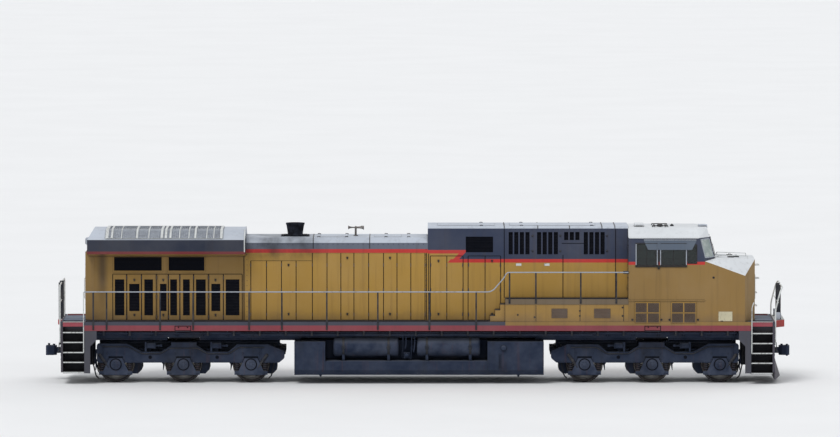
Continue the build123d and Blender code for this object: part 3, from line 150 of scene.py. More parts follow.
class Shape:
    """Mesh put together out of closed forms. Heights are above the rail."""

    def __init__(self):
        self.points = []
        self.faces = []

    def add(self, points, faces):
        """Points and faces as they are."""
        first = len(self.points)
        self.points += [Vector(point) for point in points]
        self.faces += [[first + index for index in face] for face in faces]
        return self

    def merge(self, other, matrix=None):
        """Another shape, moved by a matrix."""
        points = [matrix @ point for point in other.points] if matrix else other.points
        return self.add(points, other.faces)

    def both_sides(self):
        """Add the mirror image across the machine."""
        points = [Vector((point.x, -point.y, point.z)) for point in self.points]
        return self.add(points, [face[::-1] for face in self.faces])

    def rings(self, rings, closed=True):
        """Skin over rings of equal length, with flat ends where they are closed."""
        size = len(rings[0])
        points = [point for ring in rings for point in ring]
        faces = []
        for index in range(len(rings) - 1):
            low, high = index * size, (index + 1) * size
            faces += [[low + turn, low + (turn + 1) % size, high + (turn + 1) % size, high + turn]
                      for turn in range(size)]
        if closed:
            faces += [list(range(size))[::-1], [len(points) - size + turn for turn in range(size)]]
        return self.add(points, faces)

    def prism(self, outline, axis, ends):
        """Outline drawn along an axis: (y, z) points along x, (x, z) along y, (x, y) along z."""
        place = {"x": lambda a, b, end: (end, a, b), "y": lambda a, b, end: (a, end, b),
                 "z": lambda a, b, end: (a, b, end)}[axis]
        return self.rings([[Vector(place(a, b, end)) for a, b in outline] for end in ends])

    def box(self, x, y, z):
        """Block between two values on each axis."""
        return self.prism([(x[0], y[0]), (x[1], y[0]), (x[1], y[1]), (x[0], y[1])], "z", z)

    def bar(self, start, end, width, depth, side=(0, 1, 0)):
        """Flat bar between two points, with its depth along the side direction."""
        start, end = Vector(start), Vector(end)
        along = (end - start).normalized()
        deep = Vector(side)
        deep = (deep - along * deep.dot(along)).normalized() * depth / 2
        wide = along.cross(deep).normalized() * width / 2
        return self.rings([[base - wide - deep, base + wide - deep, base + wide + deep, base - wide + deep]
                           for base in (start, end)])

    def tube(self, path, radius, sides=10, bend=0.06):
        """Round bar along a path with rounded corners."""
        path = rounded(path, bend)
        rings = []
        side = None
        for index, point in enumerate(path):
            along = (path[min(index + 1, len(path) - 1)] - path[max(index - 1, 0)]).normalized()
            side = along.orthogonal() if side is None else side - along * side.dot(along)
            side.normalize()
            other = along.cross(side)
            rings.append([point + radius * (math.cos(turn) * side + math.sin(turn) * other)
                          for turn in turns(sides)])
        return self.rings(rings)

    def turned(self, origin, axis, profile, sides=40):
        """Round body about an axis; each profile point is a distance along it and a radius."""
        tilt = Vector((0, 0, 1)).rotation_difference(Vector(axis)).to_matrix()
        rings = [[Vector(origin) + tilt @ Vector((radius * math.cos(turn), radius * math.sin(turn), distance))
                  for turn in turns(sides)] for distance, radius in profile]
        return self.rings(rings)


def at(side, base, *steps):
    """Places at some steps out from a base, on one side of the machine."""
    return tuple(side * (base + step) for step in steps)


def about(middle, half):
    """Both ends of a length, from its middle."""
    return middle - half, middle + half


def turns(count):
    """Angles of so many even steps round a circle."""
    return [2 * math.pi * index / count for index in range(count)]


def rounded(path, bend):
    """Path with each inner corner turned into a short curve."""
    path = [Vector(point) for point in path]
    result = [path[0]]
    for before, corner, after in zip(path, path[1:], path[2:]):
        back, ahead = before - corner, after - corner
        trim = min(bend, 0.45 * back.length, 0.45 * ahead.length)
        start, end = corner + back.normalized() * trim, corner + ahead.normalized() * trim
        for step in range(5):
            share = step / 4
            result.append(start * (1 - share) ** 2 + corner * 2 * share * (1 - share) + end * share ** 2)
    return result + [path[-1]]


def shape_of(mesh):
    """Shape with the points and faces of a mesh."""
    shape = Shape()
    return shape.add([vertex.co for vertex in mesh.vertices], [list(face.vertices) for face in mesh.polygons])


def finished(name, shape, key, body="root", replaces=(), slot=None, bevel=0.0, sharp=40.0):
    """Turn a shape into a named piece with its material, riding on its body."""
    slot = slot or SLOTS[key]
    mesh = bpy.data.meshes.new(name)
    mesh.from_pydata([(point.x, point.y, point.z + RAIL_Z) for point in shape.points], [], shape.faces)
    work = bmesh.new()
    work.from_mesh(mesh)
    bmesh.ops.recalc_face_normals(work, faces=work.faces)
    for face in work.faces:
        face.smooth = True
    work.to_mesh(mesh)
    work.free()
    mesh.set_sharp_from_angle(angle=math.radians(sharp))
    mesh.materials.append(material(key))
    piece = bpy.data.objects.new(name, mesh)
    bpy.context.scene.collection.objects.link(piece)
    if bevel:
        edge = piece.modifiers.new("Edges", "BEVEL")
        edge.width = bevel
        edge.segments = 2
        edge.limit_method = "ANGLE"
        edge.angle_limit = math.radians(50)
    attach(piece, body)
    if replaces:
        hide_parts(*replaces)
    return piece


class Nodes:
    """Node tree, with short calls that make its nodes and link them."""

    def node(self, kind, inputs=(), **settings):
        """New node with its settings and fed inputs; returns its outputs."""
        node = self.tree.nodes.new(kind)
        for key, value in settings.items():
            setattr(node, key, value)
        for key, value in dict(inputs).items():
            self.feed(node.inputs[key], value)
        return node.outputs

    def feed(self, socket, value):
        """Link a socket, or set it to a plain value."""
        if isinstance(value, bpy.types.NodeSocket):
            self.tree.links.new(value, socket)
        else:
            socket.default_value = value

    def sum(self, operation, a, b=0.0):
        """Result of one sum."""
        return self.node("ShaderNodeMath", {0: a, 1: b}, operation=operation)[0]


class Pattern(Nodes):
    """One Geometry Nodes tree for a repeated form, with a named input for each size."""

    def __init__(self, name, **sizes):
        self.tree = bpy.data.node_groups.new(name, "GeometryNodeTree")
        self.tree.is_modifier = True
        self.keys = {}
        self.socket("Geometry", "NodeSocketGeometry")
        self.tree.interface.new_socket("Geometry", in_out="OUTPUT", socket_type="NodeSocketGeometry")
        for title, value in sizes.items():
            kind = "NodeSocketInt" if isinstance(value, int) else "NodeSocketFloat"
            self.socket(title, kind).default_value = value
        self.socket("Material", "NodeSocketMaterial")
        self.source = self.tree.nodes.new("NodeGroupInput").outputs

    def socket(self, title, kind):
        """New named input of the tree."""
        socket = self.tree.interface.new_socket(title, in_out="INPUT", socket_type=kind)
        self.keys[title] = socket.identifier
        return socket

    def vector(self, x=0.0, y=0.0, z=0.0):
        """Vector out of three values."""
        return self.node("ShaderNodeCombineXYZ", {0: x, 1: y, 2: z})[0]

    def close(self, geometry):
        """End the tree: real geometry with its material."""
        real = self.node("GeometryNodeRealizeInstances", {"Geometry": geometry})[0]
        painted = self.node("GeometryNodeSetMaterial",
                            {"Geometry": real, "Material": self.source["Material"]})[0]
        end = self.tree.nodes.new("NodeGroupOutput")
        self.tree.links.new(painted, end.inputs[0])
        return self

    def grown(self, key, points=((0, 0, 0),), facing=None, **sizes):
        """Shape that the tree makes on the given points."""
        mesh = bpy.data.meshes.new(self.tree.name)
        mesh.from_pydata([tuple(point) for point in points], [], [])
        if facing:
            layer = mesh.attributes.new("facing", "FLOAT_VECTOR", "POINT")
            layer.data.foreach_set("vector", [value for vector in facing for value in vector])
        seed = bpy.data.objects.new(self.tree.name, mesh)
        bpy.context.scene.collection.objects.link(seed)
        growth = seed.modifiers.new("Growth", "NODES")
        growth.node_group = self.tree
        growth[self.keys["Material"]] = material(key)
        for title, value in sizes.items():
            growth[self.keys[title]] = value
        graph = bpy.context.evaluated_depsgraph_get()
        result = bpy.data.meshes.new_from_object(seed.evaluated_get(graph))
        shape = shape_of(result)
        bpy.data.objects.remove(seed)
        bpy.data.meshes.remove(result)
        bpy.data.meshes.remove(mesh)
        return shape


def bolt_pattern():
    """Hexagon heads on points, each turned to face the way its point says."""
    tree = Pattern("Bolt heads", Radius=0.016, Height=0.012, Sides=6)
    head = tree.node("GeometryNodeMeshCylinder", {"Vertices": tree.source["Sides"],
                                                  "Radius": tree.source["Radius"],
                                                  "Depth": tree.source["Height"]})["Mesh"]
    facing = tree.node("GeometryNodeInputNamedAttribute", {"Name": "facing"},
                       data_type="FLOAT_VECTOR")["Attribute"]
    turned = tree.node("FunctionNodeAlignRotationToVector", {"Vector": facing}, axis="Z")["Rotation"]
    heads = tree.node("GeometryNodeInstanceOnPoints", {"Points": tree.source["Geometry"], "Instance": head,
                                                       "Rotation": turned})["Instances"]
    return tree.close(heads)


def slat_pattern():
    """Tilted slats up a panel, with X along the slats and Z across them."""
    tree = Pattern("Louvre slats", Width=1.0, Height=1.0, Pitch=0.045, Thickness=0.006, Depth=0.03, Tilt=0.7)
    source = tree.source
    count = tree.sum("FLOOR", tree.sum("DIVIDE", source["Height"], source["Pitch"]), 0.0)
    line = tree.node("GeometryNodeMeshLine", {
        "Count": count, "Start Location": tree.vector(z=tree.sum("MULTIPLY", source["Pitch"], 0.5)),
        "Offset": tree.vector(z=source["Pitch"])}, mode="OFFSET")["Mesh"]
    slat = tree.node("GeometryNodeMeshCube", {
        "Size": tree.vector(source["Width"], source["Depth"], source["Thickness"])})["Mesh"]
    tilt = tree.node("FunctionNodeEulerToRotation", {"Euler": tree.vector(x=source["Tilt"])})["Rotation"]
    slats = tree.node("GeometryNodeInstanceOnPoints", {"Points": line, "Instance": slat,
                                                       "Rotation": tilt})["Instances"]
    return tree.close(slats)


def screen_pattern():
    """Crossed wires over a panel, along X and along Z."""
    tree = Pattern("Wire screen", Width=1.0, Height=1.0, Pitch=0.055, Wire=0.008)
    source = tree.source
    nets = []
    for across, along in (("Width", "Height"), ("Height", "Width")):
        count = tree.sum("FLOOR", tree.sum("DIVIDE", source[across], source["Pitch"]), 0.0)
        step = {"x" if across == "Width" else "z": source["Pitch"]}
        line = tree.node("GeometryNodeMeshLine", {"Count": count, "Offset": tree.vector(**step)},
                         mode="OFFSET")["Mesh"]
        half = tree.sum("MULTIPLY", source[across], -0.5)
        start = {"x" if across == "Width" else "z": half}
        line = tree.node("GeometryNodeTransform",
                         {"Geometry": line, "Translation": tree.vector(**start)})["Geometry"]
        size = {"x" if along == "Width" else "z": source[along], "y": source["Wire"],
                "x" if across == "Width" else "z": source["Wire"]}
        wire = tree.node("GeometryNodeMeshCube", {"Size": tree.vector(**size)})["Mesh"]
        nets.append(tree.node("GeometryNodeInstanceOnPoints",
                              {"Points": line, "Instance": wire})["Instances"])
    joined = tree.tree.nodes.new("GeometryNodeJoinGeometry")
    for net in nets:
        tree.tree.links.new(net, joined.inputs[0])
    return tree.close(joined.outputs[0])


def spring_pattern():
    """Coil spring on each point, standing up."""
    tree = Pattern("Coil springs", Radius=0.076, Wire=0.017, Height=0.255, Turns=4.0)
    source = tree.source
    coil = tree.node("GeometryNodeCurveSpiral", {
        "Resolution": 14, "Rotations": source["Turns"], "Start Radius": source["Radius"],
        "End Radius": source["Radius"], "Height": source["Height"]})["Curve"]
    ring = tree.node("GeometryNodeCurvePrimitiveCircle", {"Resolution": 7, "Radius": source["Wire"]})["Curve"]
    wire = tree.node("GeometryNodeCurveToMesh", {"Curve": coil, "Profile Curve": ring,
                                                 "Fill Caps": True})["Mesh"]
    springs = tree.node("GeometryNodeInstanceOnPoints",
                        {"Points": source["Geometry"], "Instance": wire})["Instances"]
    return tree.close(springs)


PATTERN_MAKERS = {"bolts": bolt_pattern, "slats": slat_pattern, "screen": screen_pattern,
                  "springs": spring_pattern}
PATTERNS = {}


def pattern(name):
    """The named tree, built once."""
    if name not in PATTERNS:
        PATTERNS[name] = PATTERN_MAKERS[name]()
    return PATTERNS[name]


def standing(origin, along, up):
    """Matrix that puts a panel's X along one direction and its Z along another."""
    along, up = Vector(along).normalized(), Vector(up).normalized()
    out = up.cross(along)
    matrix = Matrix((along, out, up)).transposed().to_4x4()
    matrix.translation = Vector(origin)
    return matrix


def bolted(shape, key, spots, scale=1.0, **sizes):
    """Add hexagon heads; each spot is a point and the way that its head faces."""
    points, ways = zip(*spots)
    radius = bpy.context.scene.locomotive_sizes.bolt_radius * scale
    return shape.merge(pattern("bolts").grown(key, points, ways, **{"Radius": radius, **sizes}))


def louvres(shape, x, y, z, key, upright=False, depth=0.03):
    """Slats over a rectangle in a side wall; upright slats run up and down."""
    width, height = x[1] - x[0], z[1] - z[0]
    pitch = bpy.context.scene.locomotive_sizes.slat_pitch
    if upright:
        grown = pattern("slats").grown(key, Width=height, Height=width, Pitch=pitch, Depth=depth, Tilt=0.0)
        return shape.merge(grown, standing((x[0], y, sum(z) / 2), (0, 0, 1), (1, 0, 0)))
    grown = pattern("slats").grown(key, Width=width, Height=height, Pitch=pitch, Depth=depth,
                                   Tilt=-0.7 if y > 0 else 0.7)
    return shape.merge(grown, Matrix.Translation((sum(x) / 2, y, z[0])))


def frame_round(shape, x, y, z, width):
    """Flat frame of one width round a rectangle in a side wall; y holds its two faces."""
    for part_x, part_z in (((x[0] - width, x[1] + width), (z[0] - width, z[0])),
                           ((x[0] - width, x[1] + width), (z[1], z[1] + width)),
                           ((x[0] - width, x[0]), z), ((x[1], x[1] + width), z)):
        shape.box(part_x, y, part_z)
    return shape


class Finish(Nodes):
    """Node tree of one material, and the colour that its layers have built so far."""

    def __init__(self, name, colour=None, roughness=0.6, metallic=0.0, gloss=0.5):
        self.material = bpy.data.materials.new(name)
        self.material.use_nodes = True
        self.tree = self.material.node_tree
        self.shader = self.tree.nodes["Principled BSDF"].inputs
        for title, value in (("Roughness", roughness), ("Metallic", metallic), ("Specular IOR Level", gloss)):
            self.shader[title].default_value = value
        place = self.node("ShaderNodeTexCoord")
        self.place = place["Object"]
        self.x, self.y, self.z = self.node("ShaderNodeSeparateXYZ", {0: self.place})
        self.up = self.node("ShaderNodeSeparateXYZ", {0: place["Normal"]})[2]
        self.colour = colour

    def shade(self, colour):
        """Value that a colour socket takes; a colour of the livery goes by its name."""
        if isinstance(colour, str):
            colour = getattr(bpy.context.scene.locomotive_paint, colour)
        return colour if isinstance(colour, bpy.types.NodeSocket) else (*colour, 1.0)

    def both(self, a, b):
        """One where both masks are one; also a mask times its strength."""
        return self.sum("MULTIPLY", a, b)

    def none_of(self, mask):
        """The opposite of a mask."""
        return self.sum("SUBTRACT", 1.0, mask)

    def away(self, value):
        """Distance from the middle, on either side."""
        return self.sum("ABSOLUTE", value)

    def ramp(self, value, low, high):
        """Zero at one value, one at another, even between them."""
        return self.node("ShaderNodeMapRange", {0: value, 1: low, 2: high})[0]

    def above(self, value, edge, soft=0.003):
        """One where the value is above the edge."""
        return self.ramp(value, edge - soft, edge + soft)

    def high(self, edge, soft=0.003):
        """One above a height over the rail."""
        return self.above(self.z, edge + RAIL_Z, soft)

    def band(self, value, low, high, soft=0.003):
        """One between two values."""
        return self.both(self.above(value, low, soft), self.none_of(self.above(value, high, soft)))

    def level(self, low, high):
        """One between two heights over the rail."""
        return self.band(self.z, low + RAIL_Z, high + RAIL_Z)

    def noise(self, scale, stretch=(1, 1, 1), detail=3.0, rough=0.55):
        """Cloudy value from 0 to 1 over the piece."""
        place = self.node("ShaderNodeVectorMath", {0: self.place, 1: stretch}, operation="MULTIPLY")[0]
        return self.node("ShaderNodeTexNoise", {"Vector": place, "Scale": scale, "Detail": detail,
                                                "Roughness": rough})[0]

    def patches(self, scale, low, high, stretch=(1, 1, 1), detail=3.0, rough=0.55):
        """Noise made into a mask between two of its values."""
        return self.ramp(self.noise(scale, stretch, detail, rough), low, high)

    def corner_shade(self, reach=0.05):
        """Mask of painted shade: one deep in a joint or a corner, where ambient occlusion finds little light,
        zero on open faces.
        """
        shade = self.node("ShaderNodeAmbientOcclusion", {"Distance": reach}, samples=4)["AO"]
        return self.ramp(shade, 0.95, 0.45)

    def mix(self, factor, a, b):
        """Colour between two others."""
        return self.node("ShaderNodeMix", {0: factor, 6: self.shade(a), 7: self.shade(b)},
                         data_type="RGBA")[2]

    def layer(self, mask, colour, strength=None):
        """Lay a colour over what is there, as far as the mask and its strength say."""
        self.colour = self.mix(mask if strength is None else self.both(mask, strength), self.colour, colour)

    def stack(self, base, *bands):
        """Lay colours over a base from the bottom up, each from its own height over the rail."""
        self.colour = base
        for edge, colour in bands:
            self.layer(self.high(edge), colour)

    def bump(self, height, strength=0.3, distance=0.01):
        """Small relief."""
        normal = self.node("ShaderNodeBump", {"Height": height, "Strength": strength,
                                              "Distance": distance})[0]
        self.feed(self.shader["Normal"], normal)

    def done(self, mask=None, low=0.0, high=1.0):
        """Finish the tree with its colour and, along a mask, its roughness."""
        self.feed(self.shader["Base Color"], self.shade(self.colour))
        if mask is not None:
            rough = self.node("ShaderNodeMapRange", {0: mask, 3: low, 4: high})[0]
            self.feed(self.shader["Roughness"], rough)
        return self.material


def painted(name, zones, runs=0.5, low_dust=0.5, chips=0.35):
    """Old paint: chalky patches, run marks, dust low down, painted shade in joints and corners, rust chips.

    The clean paint is one colour, or what a function lays out in zones.
    """
    finish = Finish(name, zones, gloss=0.28)
    if callable(zones):
        zones(finish)
    finish.layer(finish.patches(0.8, 0.4, 0.8, detail=5.0), srgb(196, 190, 180), 0.06)
    finish.layer(finish.patches(0.45, 0.3, 0.7, (1.0, 1.0, 0.6)), "soot", 0.16)
    finish.layer(finish.patches(7.0, 0.52, 0.78, (1.0, 1.0, 0.05), 4.0, 0.6), srgb(64, 52, 44), 0.5 * runs)
    finish.layer(finish.patches(5.0, 0.58, 0.8, (1.0, 1.0, 0.04), 3.0, 0.5), "dust", 0.12 * runs)
    ragged = finish.both(finish.noise(3.0, detail=4.0), 0.5)
    low = finish.ramp(finish.sum("SUBTRACT", finish.z, ragged), 1.90, 1.40)
    finish.layer(low, srgb(84, 74, 72), low_dust)
    # Painted shade: darker deep in joints and corners, along the ambient occlusion
    finish.layer(finish.corner_shade(), srgb(34, 30, 30), 0.85)
    rusty = finish.both(finish.patches(26.0, 0.72, 0.76, detail=2.0), finish.patches(1.7, 0.5, 0.62))
    finish.layer(rusty, "rust", chips)
    finish.bump(finish.both(finish.noise(160.0, detail=2.0), 0.12), 0.12, 0.004)
    waves = finish.sum("ADD", finish.noise(2.2, detail=2.0), finish.both(low, 0.3))
    return finish.done(finish.ramp(waves, 0.1, 1.2), 0.42, 0.8)


def radiator_zones(finish):
    """Yellow darkened by painted shade under the wing and by dirt, darker towards the rear end, painted shade in
    the rear corner; red line at the foot of the wing, dark fascia, pale roof.
    """
    # Painted shade of the wing's overhang, with dirt: the whole yellow is darkened
    finish.colour = finish.mix(0.32, "yellow", srgb(52, 46, 50))
    # Darker towards the rear end
    finish.layer(finish.none_of(finish.above(finish.x, -9.45, 0.2)), srgb(64, 54, 50), 0.3)
    # Painted shade in the rear corner of the hood
    corner = finish.both(finish.band(finish.x, -9.52, -9.30, 0.08), finish.high(2.5, 0.6))
    finish.layer(corner, srgb(52, 43, 40), 0.65)
    finish.stack(finish.colour, (3.857, finish.mix(0.74, "red", srgb(44, 34, 42))),
                 (3.938, finish.mix(0.5, "band", "soot")), (4.283, "roof"))


def engine_zones(finish):
    """Yellow doors, red stripe, grey band, pale roof, all sooty round the stack."""
    finish.stack("yellow", (3.862, "red"), (3.975, finish.mix(0.22, "band", "roof")), (4.162, "roof"))
    distance = finish.away(finish.sum("ADD", finish.x, 4.1))
    sooty = finish.both(finish.ramp(distance, 1.5, 0.6), finish.high(3.7, 0.15))
    finish.layer(finish.both(sooty, finish.patches(1.9, 0.28, 0.6, detail=5.0)), "soot", 0.6)


def equipment_zones(finish):
    """The stripe steps down by a slanted bar; grey lies above it."""
    low_foot, low_top, high_foot, high_top = 3.571, 3.676, 3.843, 3.947
    slant = finish.sum("SUBTRACT", finish.x, finish.both(finish.sum("SUBTRACT", finish.z, low_foot), 0.98))
    ahead = finish.above(slant, 1.10)
    behind = finish.none_of(ahead)
    grey = finish.sum("ADD", finish.both(ahead, finish.high(low_top)),
                      finish.both(behind, finish.high(high_top)))
    finish.colour = finish.mix(grey, "yellow", "band")
    upper = finish.both(finish.level(high_foot, high_top), behind)
    lower = finish.both(finish.level(low_foot, low_top), finish.above(slant, 0.86))
    bar = finish.both(finish.level(low_foot, high_top), finish.band(slant, 0.93, 1.10))
    finish.layer(finish.sum("MINIMUM", finish.sum("ADD", finish.sum("ADD", upper, lower), bar), 1.0), "red")
    finish.layer(finish.high(4.592), "roof")


def cab_zones(finish):
    """Yellow base, red line at the window sills, grey above."""
    finish.stack(finish.mix(0.38, "yellow", srgb(72, 66, 70)), (3.545, "red"), (3.636, "band"))


def nose_zones(finish):
    """Yellow sides and front with a pale top."""
    finish.colour = finish.mix(0.36, "yellow", srgb(72, 66, 72))
    finish.layer(finish.both(finish.above(finish.up, 0.25, 0.05), finish.high(3.1)), "cab_roof")


def box_zones(finish):
    """Yellow boxes and step sides under a brown edge, dark treads on top."""
    finish.stack(finish.mix(0.18, "yellow", srgb(72, 66, 78)), (WALKWAY_LOW, srgb(112, 97, 78)))
    finish.layer(finish.above(finish.up, 0.5, 0.1), "deck")


def sill_zones(finish):
    """Grime below; sills grey over red, yellow over red beside the boxes; dark deck, paler at the ends with
    painted sunlight.
    """
    edge = finish.mix(0.12, "band", "dust")
    dusty = finish.mix(0.22, "yellow", srgb(72, 66, 78))
    upper = finish.mix(finish.above(finish.x, BOX_REAR), edge, dusty)
    side = finish.mix(finish.high(1.733), "sill_red", upper)
    # Painted sunlight on the deck at the ends
    platform = finish.both(finish.above(finish.away(finish.x), 9.93), 0.8)
    finish.stack("grime", (1.80, finish.mix(platform, "deck", "platform")))
    face = finish.above(finish.away(finish.y), SILL_Y - 0.004, 0.001)
    finish.layer(finish.both(face, finish.high(SILL_LOW)), side)


def step_zones(finish):
    """Dark wells, grey legs beside them, red edge, and painted sunlight as a paler blue-grey on the top of the
    end platforms.
    """
    outer = finish.above(finish.away(finish.y), 1.50)
    leg = finish.both(outer, finish.none_of(finish.above(finish.away(finish.x), STEPS[0])))
    finish.colour = finish.mix(leg, "deck", srgb(70, 74, 86))
    finish.layer(finish.both(outer, finish.high(1.70)), "sill_red")
    # Painted sunlight on the top faces of the end platforms
    finish.layer(finish.both(finish.above(finish.up, 0.5, 0.1), finish.high(1.78)), "platform", 0.8)


def pilot_zones(finish):
    """Dark end plates; the lip is red on its edge and white on top."""
    lip = finish.both(finish.high(1.625), finish.above(finish.away(finish.x), PLATE_X + 0.002))
    finish.colour = finish.mix(lip, "band", "red")
    finish.layer(finish.both(lip, finish.above(finish.up, 0.5)), "white")


def cast_iron(name="Truck castings", pale=0.3, oily=0.5):
    """Sandy casting under brake dust, with oil in places, dust and a painted highlight on top faces, and painted
    shade in joints and corners.
    """
    finish = Finish(name, "grime", 0.78, gloss=0.15)
    finish.layer(finish.patches(2.4, 0.3, 0.72, detail=6.0), srgb(92, 99, 116), pale)
    oil = finish.patches(1.3, 0.55, 0.68, (1.0, 1.0, 0.45), 5.0)
    finish.layer(oil, "soot", oily)
    # Top faces paler: dust, and a painted highlight where light falls from above
    finish.layer(finish.above(finish.up, 0.55, 0.2), srgb(100, 105, 116), 0.5)
    finish.layer(finish.patches(9.0, 0.58, 0.8, (1.0, 1.0, 0.07)), "rust", 0.2)
    # Painted shade deep in joints, holes and corners
    finish.layer(finish.corner_shade(0.09), srgb(12, 13, 17), 0.8)
    grain = finish.sum("ADD", finish.noise(55.0, detail=4.0), finish.both(finish.noise(9.0), 0.8))
    finish.bump(grain, 0.35, 0.006)
    return finish.done(oil, 0.85, 0.35)


def wheel_steel():
    """Rusty plate with a bright tread and a dark oily hub."""
    finish = Finish("Wheel steel", srgb(58, 50, 48), 0.5, 0.55)
    finish.layer(finish.patches(4.0, 0.3, 0.7, detail=5.0), srgb(40, 41, 48))
    tread = finish.band(finish.away(finish.y), 0.722, 0.816, 0.004)
    finish.layer(tread, srgb(168, 166, 164), 0.85)
    finish.layer(finish.patches(1.2, 0.4, 0.7, (1.0, 0.2, 1.0)), "dust", 0.35)
    finish.bump(finish.noise(40.0, detail=3.0), 0.2, 0.003)
    return finish.done(tread, 0.7, 0.3)


def bare_metal(name, colour, rough, metallic=0.7, rusty=0.3):
    """Metal with fine scratches, some rust, and painted shade in its joints and corners."""
    finish = Finish(name, colour, rough, metallic)
    worn = finish.patches(12.0, 0.42, 0.7, detail=5.0)
    finish.layer(worn, "rust", rusty)
    # Painted shade in joints and corners, in the soot colour
    finish.layer(finish.corner_shade(0.03), "soot", 0.6)
    finish.bump(finish.noise(90.0, detail=2.0), 0.15, 0.002)
    return finish.done(worn, rough, rough + 0.25)


def edge_paint(name, colour, wear=0.5):
    """Paint on rails and step edges, scuffed down to dark metal."""
    finish = Finish(name, colour, 0.5)
    scuffs = finish.patches(17.0, 0.54, 0.66, (1.0, 1.0, 0.6), 5.0)
    finish.layer(scuffs, srgb(92, 84, 76), wear)
    finish.layer(finish.patches(2.0, 0.35, 0.7), "dust", 0.2)
    finish.bump(finish.noise(120.0), 0.1, 0.002)
    return finish.done(scuffs, 0.45, 0.8)


def soot_black():
    """Heat-stained steel with grey ash."""
    finish = Finish("Sooty steel", "soot", 0.85, gloss=0.15)
    finish.layer(finish.patches(6.0, 0.4, 0.75, detail=6.0), srgb(64, 70, 84), 0.5)
    finish.bump(finish.noise(45.0, detail=4.0), 0.3, 0.004)
    return finish.done()


def dark_paint(name="Dark fittings", base=(33, 37, 46), dusty=0.3, gloss=0.2):
    """Dark paint on brackets, latches and louvres, a little dusty on top."""
    finish = Finish(name, srgb(*base), 0.6, gloss=gloss)
    patch = finish.patches(5.0, 0.4, 0.75, detail=4.0)
    finish.layer(patch, "dust", dusty)
    finish.layer(finish.above(finish.up, 0.5, 0.3), "dust", dusty)
    finish.bump(finish.noise(70.0), 0.12, 0.002)
    return finish.done(patch, 0.5, 0.8)


def rubber():
    """Window gaskets and hose ends."""
    finish = Finish("Rubber", srgb(28, 28, 30), 0.8)
    finish.layer(finish.patches(18.0, 0.4, 0.8), srgb(78, 76, 72), 0.4)
    finish.bump(finish.noise(200.0), 0.1, 0.001)
    return finish.done()


def window_glass():
    """Tinted safety glass with a patchy dusty film."""
    finish = Finish("Window glass", srgb(66, 80, 80), 0.04)
    finish.shader["Transmission Weight"].default_value = 0.86
    finish.shader["IOR"].default_value = 1.45
    film = finish.patches(3.0, 0.4, 0.8, detail=5.0)
    finish.layer(film, "dust", 0.12)
    return finish.done(film, 0.02, 0.16)


def sky_reflection_glass():
    """Dusty pane painted pale as a reflection of the bright sky, with wiper marks."""
    finish = Finish("Bright panes", srgb(118, 134, 132), 0.12)
    film = finish.patches(2.5, 0.35, 0.8, (1.0, 1.0, 2.0), 5.0)
    finish.layer(film, srgb(176, 184, 180))
    return finish.done(film, 0.08, 0.4)


def lamp_glass():
    """Clear lens with moulded flutes."""
    finish = Finish("Lamp lenses", srgb(226, 226, 216), 0.05)
    finish.shader["Transmission Weight"].default_value = 0.35
    finish.shader["Coat Weight"].default_value = 0.6
    flutes = finish.node("ShaderNodeTexWave", {"Vector": finish.place, "Scale": 22.0}, bands_direction="Y")[1]
    finish.layer(flutes, srgb(168, 172, 170), 0.2)
    finish.bump(flutes, 0.4, 0.004)
    return finish.done()


def chair_vinyl():
    """Blue-black chair vinyl with a fine grain."""
    finish = Finish("Chair vinyl", srgb(34, 40, 54), 0.65)
    finish.layer(finish.patches(3.0, 0.3, 0.8, detail=4.0), srgb(58, 60, 66))
    finish.bump(finish.noise(240.0, detail=2.0), 0.3, 0.001)
    return finish.done()


def console_plastic():
    """Grey-green control stand and cab lining."""
    finish = Finish("Cab lining", srgb(96, 106, 100), 0.6)
    finish.layer(finish.patches(6.0, 0.4, 0.8, detail=5.0), srgb(122, 124, 114))
    finish.bump(finish.noise(180.0), 0.15, 0.001)
    return finish.done()


